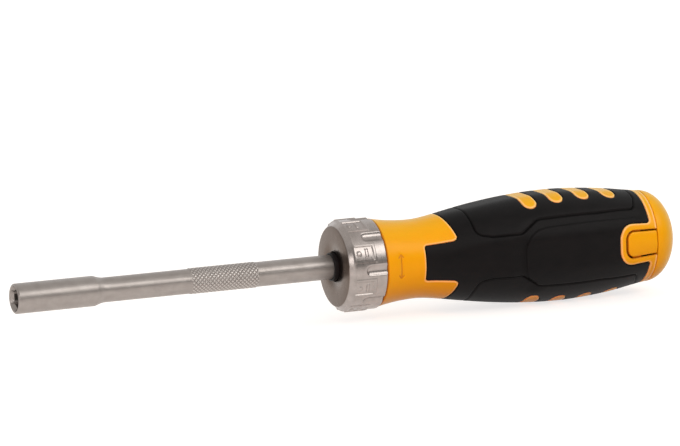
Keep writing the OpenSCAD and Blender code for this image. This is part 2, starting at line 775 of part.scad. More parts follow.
carrier_lead = 1.2;       // from the front of the bore to the carrier
carrier_x = seat_x + carrier_lead;
disc_r = magazine_r - 4 * running_fit;
rear_disc_t = 5.9;
rear_disc_in = 2;         // from the rear disc to the end of the handle
rear_disc_x = rear_x - rear_disc_in - rear_disc_t;
bit_gap = 0.4;            // end play of the bits
bit_x = rear_disc_x - bit_len - bit_gap;
tip_gap = 1.4;            // from the front disc to the tips of the bits
front_disc_end = bit_x - tip_gap;
star_wrap = 1;            // how far the carrier's star reaches past the middle of the bits
star_r = bit_reach + star_wrap;
trough_gap = 0.1;
trough_r = bit_af / sqrt(3) + trough_gap;
carrier_hub_r = 4.6;
hub_in = 1.9;             // how far the carrier's hub reaches into the cap
carrier_end = cap_x + hub_in;
carrier_screw_r = 1.5;
carrier_head_r = 2.8;
carrier_head_t = 1.8;
carrier_web = 2;          // under the screw's head
screw_tip_gap = 0.4;
screw_end = cap_x + cap_dome - 2 * cap_wall;
seal_wire_r = 0.5;
seal_in = 3.4;            // from the seal to the end of the handle
seal_x = rear_x - seal_in;
seal_stand = 0.15;        // how far the seal stands out of its groove
tab_spring_in = 2.4;      // from the front of the rear disc to the latch springs
tab_spring_x = rear_disc_x + tab_spring_in;
tab_spring_r = 1.2;
tab_spring_wire_r = 0.15;
tab_pocket = 3;           // depth of the pocket for a latch spring
tab_flat = 12;            // flats on the rear disc that leave room for the tabs
pin_in = 1.75;            // from the rim of the cap to the latch pins
pin_x = cap_x + pin_in;
pin_reach = 10.8;
latch_pin_r = 0.8;
knuckle_r = 1.45;
knuckle_half = 3;
knuckle_gap = 0.2;
ear_half = 5.2;
ear_len = 3.4;
ear_w = 4;
ear_shift = 0.5;          // from the latch pin to the middle of its ears

module cap_dome_solid(inset) {
    steps = 10;
    turned() polygon(concat([[0, cap_x]], [for (i = [0:steps])
        [(rear_r - inset) * cos(90 * i / steps), cap_x + (cap_dome - inset) * sin(90 * i / steps)]]));
}

module cap_ear() {
    t = ear_half - knuckle_half - knuckle_gap;
    translate([cap_x + knuckle_gap, pin_reach + ear_shift - ear_w / 2, ear_half - t])
        cube([ear_len, ear_w, t]);
}

module end_cap() {
    color(yellow) difference() {
        union() {
            difference() {
                cap_dome_solid(0);
                translate([-fixed_fit, 0, 0]) cap_dome_solid(cap_wall);
            }
            intersection() {
                cap_dome_solid(0);
                union() {
                    rod(carrier_end, cap_x + cap_dome, carrier_hub_r);
                    for (side = [0, 1], end = [0, 1]) mirror([0, side, 0]) mirror([0, 0, end]) cap_ear();
                }
            }
        }
        rod(carrier_end - overrun, screw_end, carrier_screw_r + fixed_fit);
        for (side = [-1, 1]) translate([pin_x, side * pin_reach, -ear_half - overrun])
            cylinder(h = 2 * (ear_half + overrun), r = latch_pin_r + fixed_fit);
    }
}

module at_bit(i) {
    rotate([(i + 0.5) * 360 / bit_count, 0, 0]) translate([0, bit_reach, 0]) children();
}

module bit_carrier() {
    color("#2a2a2c") difference() {
        union() {
            rod(carrier_x, front_disc_end, disc_r);
            rod(front_disc_end - overrun, rear_disc_x + overrun, star_r);
            rod(rear_disc_x, rear_disc_x + rear_disc_t, disc_r);
            rod(rear_disc_x, carrier_end - fixed_fit, carrier_hub_r);
        }
        for (i = [0:bit_count - 1]) at_bit(i) rod(front_disc_end, rear_disc_x, trough_r);
        rod(carrier_x - overrun, rear_disc_x - carrier_web, carrier_head_r + trough_gap);
        rod(rear_disc_x - overrun - carrier_web, carrier_end + overrun, carrier_screw_r + running_fit);
        tube(seal_x - seal_wire_r - fixed_fit, seal_x + seal_wire_r + fixed_fit, disc_r + overrun,
            disc_r + seal_stand - 2 * seal_wire_r - fixed_fit);
        for (side = [0, 1]) mirror([0, side, 0])
            translate([rear_disc_x - overrun, tab_flat, -lug_half - moving_gap])
                cube([seal_x - 2 * seal_wire_r - rear_disc_x + overrun, disc_r, 2 * (lug_half + moving_gap)]);
        for (side = [-1, 1]) translate([tab_spring_x, 0, 0]) rotate([-90 * side, 0, 0])
            translate([0, 0, disc_r - tab_pocket])
                cylinder(h = tab_pocket + overrun, r = tab_spring_r + 2 * tab_spring_wire_r);
    }
}

module carrier_screw() {
    x = rear_disc_x - carrier_web - carrier_head_t - fixed_fit;
    color(dark_steel) difference() {
        union() {
            rod(x, x + carrier_head_t, carrier_head_r);
            rod(x + carrier_head_t - fixed_fit, screw_end - screw_tip_gap, carrier_screw_r);
        }
        hex_rod(x - overrun, x + carrier_head_t * 2 / 3, carrier_screw_r * 1.6);
    }
}

module cap_seal_ring() {
    color(black) rotate([0, 90, 0]) translate([0, 0, seal_x]) rotate_extrude()
        translate([disc_r + seal_stand - seal_wire_r, 0]) circle(r = seal_wire_r, $fn = 16);
}

module latch_pins() {
    for (side = [-1, 1]) color(steel) translate([pin_x, side * pin_reach, -ear_half])
        cylinder(h = 2 * ear_half, r = latch_pin_r);
}

// Bits, with their tips towards the front

bit_hex_len = 15;
bit_neck_r = 2.5;
bit_back = bit_x + bit_len - bit_hex_len + 0.5 * bit_neck_r;   // where the round neck ends in the hexagon
module bit_blank() {
    hex_rod(bit_x + bit_len - bit_hex_len, bit_x + bit_len, bit_af);
}

module cross_bit(i, tip_radius) {
    color(dark_steel) at_bit(i) {
        bit_blank();
        difference() {
            turned() polygon([[0, bit_x], [tip_radius / 4, bit_x], [tip_radius, bit_x + tip_radius * 1.4],
                [tip_radius, bit_x + bit_len / 4], [bit_neck_r, bit_x + bit_len / 3],
                [bit_neck_r, bit_back], [0, bit_back]]);
            for (k = [0:3]) rotate([45 + 90 * k, 0, 0])
                translate([bit_x - overrun, tip_radius * 0.22, tip_radius * 0.22])
                    cube([overrun + bit_len / 5, tip_radius, tip_radius]);
        }
    }
}

module slotted_bit(i, width, thickness) {
    color(dark_steel) at_bit(i) {
        bit_blank();
        intersection() {
            turned() polygon([[0, bit_x], [width / 2, bit_x], [width / 2, bit_x + bit_len / 4],
                [bit_neck_r, bit_x + bit_len / 3], [bit_neck_r, bit_back], [0, bit_back]]);
            translate([0, bit_len, 0]) rotate([90, 0, 0]) linear_extrude(2 * bit_len) polygon([
                [bit_x, -thickness / 2], [bit_x + bit_len / 3, -bit_neck_r],
                [bit_x + bit_len, -bit_neck_r - overrun], [bit_x + bit_len, bit_neck_r + overrun],
                [bit_x + bit_len / 3, bit_neck_r], [bit_x, thickness / 2]]);
        }
    }
}

cross_small_r = 2.2;
cross_large_r = 3;
blade_small_w = 4.5;
blade_small_t = 0.8;
blade_large_w = 6;
blade_large_t = 1.1;
star_flute_r = 0.65;
star_tip_r = 2.2;
hex_tip_af = 4;

module bit_cross_small() {
    cross_bit(0, cross_small_r);
}

module bit_cross_large() {
    cross_bit(1, cross_large_r);
}

module bit_slotted_small() {
    slotted_bit(2, blade_small_w, blade_small_t);
}

module bit_slotted_large() {
    slotted_bit(3, blade_large_w, blade_large_t);
}

module bit_star() {
    color(dark_steel) at_bit(4) {
        bit_blank();
        difference() {
            rod(bit_x, bit_back, star_tip_r);
            for (k = [0:5]) rotate([60 * k, 0, 0]) translate([0, bit_neck_r, 0])
                rod(bit_x - overrun, bit_x + bit_len / 4, star_flute_r);
        }
    }
}

module bit_hex() {
    color(dark_steel) at_bit(5) {
        bit_blank();
        hex_rod(bit_x, bit_back, hex_tip_af);
    }
}

// Latch tabs, which turn on the latch pins and let the magazine go when both are pressed

// The nose of a pressed tab moves forward, so the gap ahead of it is wider than the gaps beside it
tab_nose = notch_nose + moving_gap / 2 + (belly_r - pin_reach) * sin(tab_swing);
lug_at = 2.6;             // from the nose of the tab to its lugs
lug_len = 3;
lever_len = 7;            // from the end of the handle forward to the root of the lever
lever_t = 0.8;
lever_turn = 1.5;         // where the lever turns in towards its pin

module latch_tab() {
    color(yellow) {
        intersection() {
            handle_form();
            side_prism(tab_in, wide)
                u_shape(tab_nose, tab_half, notch_corner_r - notch_wall + tab_half, rear_x - fixed_fit);
        }
        translate([tab_nose + lug_at, tab_in, -lug_half]) cube([lug_len, lug_t, 2 * lug_half]);
        difference() {
            union() {
                translate([0, 0, -knuckle_half]) linear_extrude(2 * knuckle_half) polygon([
                    [rear_x - lever_len, tab_in], [rear_x - lever_turn, tab_in],
                    [rear_x, pin_reach + lever_t], [pin_x, pin_reach - knuckle_r],
                    [pin_x, pin_reach + knuckle_r], [rear_x, tab_in - lever_t],
                    [rear_x - cap_gap, tab_in + lever_t], [rear_x - lever_len, tab_in + lever_t]]);
                translate([pin_x, pin_reach, -knuckle_half]) cylinder(h = 2 * knuckle_half, r = knuckle_r);
            }
            translate([pin_x, pin_reach, -knuckle_half - overrun])
                cylinder(h = 2 * (knuckle_half + overrun), r = latch_pin_r + running_fit);
        }
    }
}

module latch_tab_right() {
    latch_tab();
}

module latch_tab_left() {
    mirror([0, 1, 0]) latch_tab();
}

module latch_spring(side) {
    bottom = disc_r - tab_pocket + tab_spring_wire_r + fixed_fit;
    color(steel) translate([tab_spring_x, 0, 0]) rotate([-90 * side, 0, 0]) translate([0, 0, bottom])
        coil(tab_spring_r, tab_spring_wire_r, tab_in - moving_gap - bottom - tab_spring_wire_r, 4);
}

module latch_spring_right() {
    latch_spring(1);
}

module latch_spring_left() {
    latch_spring(-1);
}

bit_holder_shank();
socket_magnet();
bit_retaining_ring();
ratchet_gear();
spindle_clip();
selector_collar();
collar_retaining_ring();
pawl_forward();
pawl_reverse();
ratchet_housing();
housing_cover();
cover_screws();
front_bush();
rear_bush();
pawl_pins();
pawl_spring_forward();
pawl_spring_reverse();
detent_ball();
detent_spring();
thrust_ball();
thrust_plug();
handle_core();
rubber_grip();
end_cap();
bit_carrier();
carrier_screw();
cap_seal_ring();
latch_pins();
bit_cross_small();
bit_cross_large();
bit_slotted_small();
bit_slotted_large();
bit_star();
bit_hex();
latch_tab_left();
latch_tab_right();
latch_spring_left();
latch_spring_right();
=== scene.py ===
import math

import bmesh
import bpy
import numpy as np
from mathutils import Matrix, Vector
from mathutils.geometry import delaunay_2d_cdt


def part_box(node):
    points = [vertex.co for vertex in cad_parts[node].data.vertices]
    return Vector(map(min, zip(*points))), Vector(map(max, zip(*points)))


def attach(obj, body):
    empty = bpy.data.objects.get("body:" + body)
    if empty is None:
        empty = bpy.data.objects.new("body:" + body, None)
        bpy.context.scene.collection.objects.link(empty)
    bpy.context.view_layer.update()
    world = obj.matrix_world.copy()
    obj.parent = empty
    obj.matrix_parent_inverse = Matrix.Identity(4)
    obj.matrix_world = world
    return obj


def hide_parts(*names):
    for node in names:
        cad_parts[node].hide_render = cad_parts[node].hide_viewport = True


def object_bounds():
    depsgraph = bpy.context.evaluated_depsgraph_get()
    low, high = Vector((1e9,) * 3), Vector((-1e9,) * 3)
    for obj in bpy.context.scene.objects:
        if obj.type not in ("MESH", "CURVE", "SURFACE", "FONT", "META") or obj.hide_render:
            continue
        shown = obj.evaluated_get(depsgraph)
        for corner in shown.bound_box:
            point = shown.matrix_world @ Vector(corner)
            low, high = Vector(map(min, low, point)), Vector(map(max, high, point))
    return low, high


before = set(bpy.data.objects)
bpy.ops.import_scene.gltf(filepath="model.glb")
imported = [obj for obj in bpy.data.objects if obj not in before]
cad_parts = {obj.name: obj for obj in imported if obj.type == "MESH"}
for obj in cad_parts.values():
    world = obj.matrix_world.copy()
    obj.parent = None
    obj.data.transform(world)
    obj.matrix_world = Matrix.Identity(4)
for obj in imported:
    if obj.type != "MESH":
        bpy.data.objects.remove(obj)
cad_low, cad_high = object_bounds()

# The studio: a camera far off with a long lens, a pale floor that keeps a soft shadow, a large soft
# lamp above, a small one on the left and a faint warm light low in front, as from a paper sweep.
MM = 0.001
photo_size = Vector((680, 446))
tip_in_photo = Vector((13.8, 299.0))      # where the mouth of the bit holder lies, in pixels
pixels_per_mm = 3.07                      # at the mouth of the bit holder
turned_by, raised_by, rolled_by = math.radians(-22.5), math.radians(9.0), math.radians(1.95)
camera_range, sensor_width, far_clip = 2500 * MM, 36, 20

back = Vector((math.sin(turned_by) * math.cos(raised_by), -math.cos(turned_by) * math.cos(raised_by),
               math.sin(raised_by)))
level = Vector((math.cos(turned_by), math.sin(turned_by), 0))
upright = back.cross(level)
right = math.cos(rolled_by) * level - math.sin(rolled_by) * upright
up = math.sin(rolled_by) * level + math.cos(rolled_by) * upright
focal_pixels = pixels_per_mm * camera_range / MM
aside = (tip_in_photo.x - photo_size.x / 2) / focal_pixels * camera_range
above = -(tip_in_photo.y - photo_size.y / 2) / focal_pixels * camera_range
camera_data = bpy.data.cameras.new("camera")
camera_data.sensor_width = sensor_width
camera_data.lens = sensor_width * focal_pixels / photo_size.x
camera_data.clip_end = far_clip
camera = bpy.data.objects.new("camera", camera_data)
camera.matrix_world = Matrix((right, up, back)).transposed().to_4x4()
camera.location = back * camera_range - right * aside - up * above
bpy.context.scene.collection.objects.link(camera)
bpy.context.scene.camera = camera


def studio_lamp(name, place, aim, size, power, colour):
    """A rectangular soft lamp, turned to face a place."""
    data = bpy.data.lights.new(name, "AREA")
    data.shape = "RECTANGLE"
    data.size, data.size_y = size
    data.energy = power
    data.color = colour
    lamp = bpy.data.objects.new(name, data)
    lamp.location = place
    lamp.rotation_euler = (Vector(aim) - Vector(place)).to_track_quat("-Z", "Y").to_euler()
    bpy.context.scene.collection.objects.link(lamp)
    return lamp


middle = (0.13, 0, 0)
studio_lamp("key_softbox", (0.52, -0.78, 0.66), middle, (1.5, 0.44), 6.3, (1.0, 0.99, 0.97))
low_fill = studio_lamp("warm_low_fill", (-0.25, -0.90, 0.05), middle, (0.9, 0.2), 5.6, (1.0, 0.16, 0.03))
low_fill.visible_glossy = False           # a paper sweep is too dull to shine in the metal
studio_lamp("left_softbox", (-0.60, -0.72, 0.28), middle, (0.4, 0.3), 1.5, (1.0, 0.97, 0.95))


def given(tree, node, inputs):
    """Gives some inputs of a node their values. Each is plain or another node's output."""
    for key, value in inputs.items():
        if isinstance(value, bpy.types.NodeSocket):
            tree.links.new(value, node.inputs[key])
        else:
            node.inputs[key].default_value = value
    return node


def new_node(tree, kind, inputs, operation=None):
    """Adds a node with its inputs, and with its operation if it has one."""
    node = tree.nodes.new("ShaderNode" + kind)
    if operation:
        node.operation = operation
    return given(tree, node, inputs)


def seen_or_reflected(tree):
    """1 on a ray from the camera, or one that a shiny or clear surface sends on, and 0 on any other."""
    path = new_node(tree, "LightPath", {})
    share = path.outputs["Is Camera Ray"]
    for kind in ("Is Glossy Ray", "Is Transmission Ray"):
        share = new_node(tree, "Math", {0: share, 1: path.outputs[kind]}, "MAXIMUM").outputs[0]
    return share


def lifted(tree, shade, strength, output):
    """Adds a white light to a surface, but only where it is seen, so that the background is white."""
    light = new_node(tree, "Emission", {"Color": (1, 1, 1, 1), "Strength": strength})
    both = new_node(tree, "AddShader", {0: shade.outputs[0], 1: light.outputs[0]})
    mix = new_node(tree, "MixShader", {0: seen_or_reflected(tree), 1: shade.outputs[0], 2: both.outputs[0]})
    given(tree, output, {"Surface": mix.outputs[0]})


def to_range(tree, value, low, high, from_low=0.3, from_high=0.7):
    """A value spread over another range. Noise lies mostly between 0.3 and 0.7."""
    node = new_node(tree, "MapRange", {"Value": value, "From Min": from_low, "From Max": from_high,
                                       "To Min": low, "To Max": high})
    return node.outputs["Result"]


def facing_share(tree, direction, low, high, from_low, from_high):
    """A value that rises as the direction of the ray turns towards a given one."""
    ray = new_node(tree, "TexCoord", {})
    alike = new_node(tree, "VectorMath", {0: ray.outputs["Generated"], 1: direction}, "DOT_PRODUCT")
    return to_range(tree, alike.outputs["Value"], low, high, from_low, from_high)


world = bpy.data.worlds.new("world")
world.use_nodes = True
bpy.context.scene.world = world
bpy.context.scene.view_settings.view_transform = "Standard"
sky = world.node_tree
high_and_behind = (0, 0.6, 0.9)           # the room is brightest there, and dim low in front
dim, bright = 0.12, 0.76
room = given(sky, sky.nodes["Background"], {
    "Color": (1.0, 0.97, 0.94, 1), "Strength": facing_share(sky, high_and_behind, dim, bright, -0.1, 0.6)})
white_sky = new_node(sky, "Background", {"Color": (1, 1, 1, 1)})
# Metal sees the white sheet behind it too
seen_behind = new_node(sky, "Math", {0: seen_or_reflected(sky), 1: facing_share(sky, -back, 0, 1, 0.2, 0.7)},
                       "MULTIPLY")
white_behind = new_node(sky, "MixShader", {0: seen_behind.outputs[0], 1: room.outputs[0],
                                           2: white_sky.outputs[0]})
given(sky, sky.nodes["World Output"], {"Surface": white_behind.outputs[0]})


def placed(name, bm):
    """Makes an object of a finished mesh and puts it in the scene."""
    mesh = bpy.data.meshes.new(name)
    bm.to_mesh(mesh)
    bm.free()
    made = bpy.data.objects.new(name, mesh)
    bpy.context.scene.collection.objects.link(made)
    return made


floor_drop, floor_half = 0.4 * MM, 3      # the floor lies just below the fullest part of the grip
floor_lift = 0.72
floor_bm = bmesh.new()
bmesh.ops.create_grid(floor_bm, x_segments=1, y_segments=1, size=floor_half)
bmesh.ops.translate(floor_bm, verts=floor_bm.verts, vec=(0, 0, cad_low[2] - floor_drop))
floor = placed("floor", floor_bm)
paper = bpy.data.materials.new("pale_paper")
paper.use_nodes = True
paper_shader = given(paper.node_tree, paper.node_tree.nodes["Principled BSDF"],
                     {"Base Color": (0.50, 0.465, 0.43, 1), "Roughness": 0.9})
lifted(paper.node_tree, paper_shader, floor_lift, paper.node_tree.nodes["Material Output"])
floor.data.materials.append(paper)

# The shank: a thick bit holder and a long round shaft turned from one bar of steel, with a band of
# fine diamond knurling for the fingers, and satin nickel plated. A hex socket is broached in its end.


def new_finish(name, colour, roughness, metallic=0.0, specular=0.5):
    """A procedural material: its own tree, its shader and the point in object space in millimetres."""
    finish = bpy.data.materials.new(name)
    finish.use_nodes = True
    tree = finish.node_tree
    shader = given(tree, tree.nodes["Principled BSDF"], {
        "Base Color": (*colour, 1), "Roughness": roughness, "Metallic": metallic,
        "Specular IOR Level": specular})
    coords = new_node(tree, "TexCoord", {})
    scaled = new_node(tree, "Mapping", {"Vector": coords.outputs["Object"],
                                        "Scale": (1 / MM, 1 / MM, 1 / MM)})
    return finish, tree, shader, scaled.outputs["Vector"]


def grain(tree, place, stretch, scale, detail=3.0):
    """Noise over a point in millimetres, stretched along each axis, as a grey value."""
    stretched = new_node(tree, "Mapping", {"Vector": place, "Scale": stretch})
    noise = new_node(tree, "TexNoise", {"Vector": stretched.outputs["Vector"], "Scale": scale,
                                        "Detail": detail})
    return noise.outputs[0]


def blend_colour(tree, share, first, second):
    """Two colours mixed by a share. Each is three numbers or another node's output."""
    node = tree.nodes.new("ShaderNodeMix")
    node.data_type = "RGBA"
    first, second = ((*c, 1) if isinstance(c, tuple) else c for c in (first, second))
    return given(tree, node, {"Factor": share, 6: first, 7: second}).outputs[2]


def layer_value(tree, name):
    """A value that the mesh carries on its points."""
    value = tree.nodes.new("ShaderNodeAttribute")
    value.attribute_name = name
    return value.outputs["Fac"]


def bump(tree, shader, height, distance, strength=1.0):
    """Small relief in the surface's own shading."""
    node = new_node(tree, "Bump", {"Height": height, "Distance": distance, "Strength": strength})
    given(tree, shader, {"Normal": node.outputs["Normal"]})


def metal_finish(name, colour, shade, roughness, turned=(1.1, 0.2, 0.2), scale=1.0, grit=0.0012):
    """Metal with lathe or drawing marks across X, clouds of wear in its colour and in its gloss."""
    finish, tree, shader, place = new_finish(name, colour, roughness, metallic=1.0)
    marks = grain(tree, place, turned, scale)
    clouds = grain(tree, place, (0.25, 0.4, 0.4), 1.0)
    given(tree, shader, {"Base Color": blend_colour(tree, to_range(tree, clouds, 0, 1), colour, shade),
                         "Roughness": to_range(tree, marks, roughness - 0.03, roughness + 0.04)})
    bump(tree, shader, marks, grit * MM, 0.5)
    return finish


satin_steel = metal_finish("satin_steel", (0.375, 0.342, 0.322), (0.325, 0.294, 0.275), 0.4)
tree = satin_steel.node_tree
shader = tree.nodes["Principled BSDF"]
steel_colour = shader.inputs["Base Color"].links[0].from_socket
# Painted shade in the knurl's cuts and a painted highlight on its diamond tops
for layer, painted_tone in (("knurl_crest_highlight", (0.52, 0.485, 0.46)), ("knurl_cut_shade", (0.25, 0.22, 0.205))):
    steel_colour = blend_colour(tree, layer_value(tree, layer), steel_colour, painted_tone)
given(tree, shader, {"Base Color": steel_colour})


def turned_piece(outline, steps):
    """A closed surface of revolution about X from points (x, radius), in millimetres."""
    bm = bmesh.new()
    points = [bm.verts.new((x, -r, 0)) for x, r in outline]
    edges = [bm.edges.new(pair) for pair in zip(points, points[1:])]
    bmesh.ops.spin(bm, geom=points + edges, cent=(0, 0, 0), axis=(1, 0, 0), angle=2 * math.pi,
                   steps=steps, use_merge=True)
    bmesh.ops.remove_doubles(bm, verts=bm.verts, dist=0.0005)
    return bm


def finished(bm, name, finish, body, node, sharp=40):
    """Makes the piece from millimetres, with its material, and sets it in place of its node."""
    bmesh.ops.recalc_face_normals(bm, faces=bm.faces)
    bmesh.ops.scale(bm, verts=bm.verts, vec=(MM, MM, MM))
    piece = placed(name, bm)
    piece.data.materials.append(finish)
    piece.data.shade_smooth()
    piece.data.set_sharp_from_angle(angle=math.radians(sharp))
    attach(piece, body)
    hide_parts(node)


def around(co):
    """The angle of a place round the X axis, from 0 towards -Y."""
    return math.atan2(co.z, -co.y)


def arc(x, r, radius, first, last, steps):
    """Points (x, radius) on a circle, from one angle to another, with 0 towards +X."""
    span = [math.radians(first + (last - first) * i / steps) for i in range(steps + 1)]
    return [(x + radius * math.cos(a), r + radius * math.sin(a)) for a in span]


holder_r, shaft_r = 5.0, 4.1
holder_end, shoulder_end, shoulder_bias = 27.5, 31.5, 0.7
mouth_edge, mouth_r, mouth_face = 0.5, 4.25, 0.1
mouth_bevel, mouth_bevel_len, mouth_bevel_in = 0.08, 0.07, 0.12
countersink_from, countersink_end, hex_from = 0.3, 1.35, 1.0
socket_af, socket_depth = 6.45, 14.0
magnet_r, magnet_depth = 2.93, 2.2
knurl_start, knurl_end, knurl_rise = 61.0, 85.0, 0.2
diamonds = 18                             # knurled diamonds round the shaft
knurl_row, knurl_fade, flank = 0.12, 0.5, 0.5
# Shares of a diamond's height under the painted shade in the cuts and the painted highlight on the tops
knurl_cut_shade_share, crest_highlight_share = 0.25, 0.3      # of a diamond's height
shank_steps, shoulder_rows = 288, 17
collar_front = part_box("selector_collar")[0].x / MM
gear_front, gear_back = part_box("ratchet_gear")[0].x / MM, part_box("ratchet_gear")[1].x / MM
shank_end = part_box("bit_holder_shank")[1].x / MM
tang_af, journal_r, journal_edge = 6.0, 3.0, 0.4
near = 0.01                               # how closely a point has to lie on a radius or a plane


def shoulder_height(t):
    """Share of the step from the shaft to the holder, from 1 at the holder to 0, with soft ends."""
    return (1 - t ** shoulder_bias) ** 2 * (1 + 2 * t ** shoulder_bias)


inside = [(socket_depth + magnet_depth, 0), (socket_depth + magnet_depth, magnet_r),
          (socket_depth, magnet_r), (socket_depth, socket_af / 2), (countersink_end, socket_af / 2),
          (countersink_from, mouth_r - mouth_bevel_in)]
mouth = [(mouth_bevel_len, mouth_r), (0, mouth_r + mouth_bevel), (0, holder_r - mouth_edge - mouth_bevel)]
outer_edge = arc(mouth_edge + mouth_face, holder_r - mouth_edge, mouth_edge, 180, 90, 5)[1:]
shoulder = [(holder_end + (shoulder_end - holder_end) * t,
             shaft_r + (holder_r - shaft_r) * shoulder_height(t))
            for t in np.linspace(0, 1, shoulder_rows).tolist()]
band = [(float(x), shaft_r) for x in np.arange(knurl_start, knurl_end + near, knurl_row)]
tang = [(gear_front, shaft_r), (gear_front, tang_af / 2), (gear_back, tang_af / 2), (gear_back, journal_r),
        (shank_end - journal_edge, journal_r), (shank_end, journal_r - journal_edge), (shank_end, 0)]
shank_bm = turned_piece(inside + mouth + outer_edge + shoulder + band + tang, shank_steps)
knurl_cut_shade = shank_bm.verts.layers.float.new("knurl_cut_shade")
knurl_crest_highlight = shank_bm.verts.layers.float.new("knurl_crest_highlight")


def hexagon_reach(angle, af):
    """Distance from a hexagon's middle to its edge, at an angle."""
    off = (math.degrees(angle) + 30) % 60 - 30
    return af / 2 / math.cos(math.radians(off))


def diamond_height(x, angle):
    """How far a place on the knurl stands above the cuts, from 0 in a cut to 1 on a diamond's tip."""
    turns = angle / (2 * math.pi) * diamonds
    along = (x - knurl_start) * diamonds / (2 * math.pi * shaft_r)
    return min(1 - abs(2 * ((along + s * turns) % 1) - 1) for s in (-1, 1))


for v in shank_bm.verts:
    r = math.hypot(v.co.y, v.co.z)
    reach = r
    if hex_from < v.co.x <= socket_depth and abs(r - socket_af / 2) < near:
        reach = hexagon_reach(around(v.co), socket_af)
    if gear_front <= v.co.x <= gear_back and abs(r - tang_af / 2) < near:
        reach = hexagon_reach(around(v.co), tang_af)
    if knurl_start <= v.co.x <= knurl_end and abs(r - shaft_r) < near:
        height = diamond_height(v.co.x, around(v.co))
        ends = min(v.co.x - knurl_start, knurl_end - v.co.x, knurl_fade) / knurl_fade
        reach = shaft_r + knurl_rise * ends * min(height / flank, 1)
        # painted shade in the knurl's cuts
        v[knurl_cut_shade] = ends * max(0.0, 1 - height / knurl_cut_shade_share)
        # painted highlight on the diamonds' tops
        v[knurl_crest_highlight] = ends * min(1.0, max(0.0, height - knurl_cut_shade_share) / crest_highlight_share)
    if r > 0:
        v.co.y *= reach / r
        v.co.z *= reach / r
finished(shank_bm, "bit_holder_shank_turned", satin_steel, "shank", "bit_holder_shank",
         sharp=35)

# The magnet that holds the bit is a ground disc pressed in behind the socket, and a spring wire
# ring in the socket's groove grips the bit's neck.
dark_steel = metal_finish("oiled_dark_steel", (0.17, 0.16, 0.155), (0.12, 0.115, 0.11), 0.36)
spring_steel = metal_finish("bright_spring_steel", (0.52, 0.51, 0.50), (0.42, 0.41, 0.40), 0.24,
                            scale=3.0)


def dressed(finish, *nodes):
    """Gives CAD nodes whose shape is right their finish."""
    for name in nodes:
        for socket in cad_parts[name].material_slots:
            socket.material = finish


dressed(spring_steel, "socket_magnet")
dressed(dark_steel, "bit_retaining_ring")

# Ratchet gear, its clip, and the two pawls with their pins and springs: hardened steel in a film of
# grease, blanked and ground, all hidden under the selector collar.
dressed(dark_steel, "ratchet_gear", "spindle_clip", "pawl_forward", "pawl_reverse")
dressed(spring_steel, "pawl_pins", "pawl_spring_forward", "pawl_spring_reverse", "detent_ball",
        "detent_spring", "thrust_ball")

# Ratchet housing and its cover: sintered steel, pressed and keyed into the handle, held together
# by three small plated screws, with a bronze bush that carries the journal of the shank.
cast_steel = metal_finish("sintered_housing_steel", (0.36, 0.345, 0.33), (0.29, 0.28, 0.27), 0.45,
                          turned=(1.0, 1.0, 1.0), scale=3.5, grit=0.01)
screw_steel = metal_finish("plated_screw_steel", (0.40, 0.395, 0.39), (0.31, 0.305, 0.30), 0.3,
                           scale=3.0)
bearing_bronze = metal_finish("bearing_bronze", (0.42, 0.27, 0.11), (0.33, 0.20, 0.08), 0.38, scale=2.5)
dressed(cast_steel, "ratchet_housing", "housing_cover")
dressed(screw_steel, "cover_screws", "thrust_plug")
dressed(bearing_bronze, "rear_bush")

# Front bush: a moulded nylon bearing in the collar's face that the shaft turns in. Its rounded lip
# stands out round the shaft as a short black sleeve.
black_nylon, tree, shader, place = new_finish("moulded_black_nylon", (0.006, 0.006, 0.0065), 0.42,
                                              specular=0.2)
fine = grain(tree, place, (1, 1, 1), 6.0)
given(tree, shader, {"Roughness": to_range(tree, fine, 0.36, 0.5)})
bump(tree, shader, fine, 0.01 * MM, 0.4)
bush_front, bush_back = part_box("front_bush")[0].x / MM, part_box("front_bush")[1].x / MM
bush_r, bush_bore, bush_lip_r, bush_edge = 5.3, 4.15, 4.75, 0.22
bush_recess, bush_bevel = 2.2, 0.1
bush_outline = (arc(bush_front + bush_edge, bush_bore + bush_edge, bush_edge, 270, 180, 4)
                + arc(bush_front + bush_edge, bush_lip_r - bush_edge, bush_edge, 180, 90, 4)
                + [(collar_front + bush_recess, bush_lip_r),
                   (collar_front + bush_recess, bush_r - bush_bevel),
                   (collar_front + bush_recess + bush_bevel, bush_r), (bush_back, bush_r),
                   (bush_back, bush_bore)])
bush_bm = turned_piece(bush_outline + bush_outline[:1], 96)
finished(bush_bm, "front_bush_moulded", black_nylon, "handle", "front_bush")

# Selector collar: a zinc die casting in satin nickel, turned to its taper, with eight scallops for the
# fingers. Between them stand eight raised frames, cast in one with it, each round a dot and a bar.
collar_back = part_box("selector_collar")[1].x / MM
face_r, collar_r, bore_r, front_hole_r = 13.4, 15.2, 13.3, 5.0
face_thickness, face_bevel, face_edge, face_edge_in, collar_taper = 2.0, 1.8, 0.2, 0.1, 0.05
hole_edge, bore_edge, rear_edge = 0.3, 0.2, 0.4
face_row_r = 9.0                          # a ring of points on the face, between the hole and its edge
scallops, scallop_r, scallop_depth, scallop_at = 8, 2.4, 0.85, 5.0
mark_at, mark_len, mark_width, mark_rise, mark_edge, ridge = 2.0, 7.4, 6.4, 0.32, 0.22, 0.9
dot_at, dot_r = 1.5, 0.75
bar_at, bar_half_len, bar_half_width = 4.2, 1.4, 0.45
collar_steps, collar_row = 432, 0.2
bevel_gap, rear_gap = 0.25, 0.1           # from the rows on the side to the bevel and the rear edge
bevel_r = face_r + (collar_r - face_r) * 2 / 3


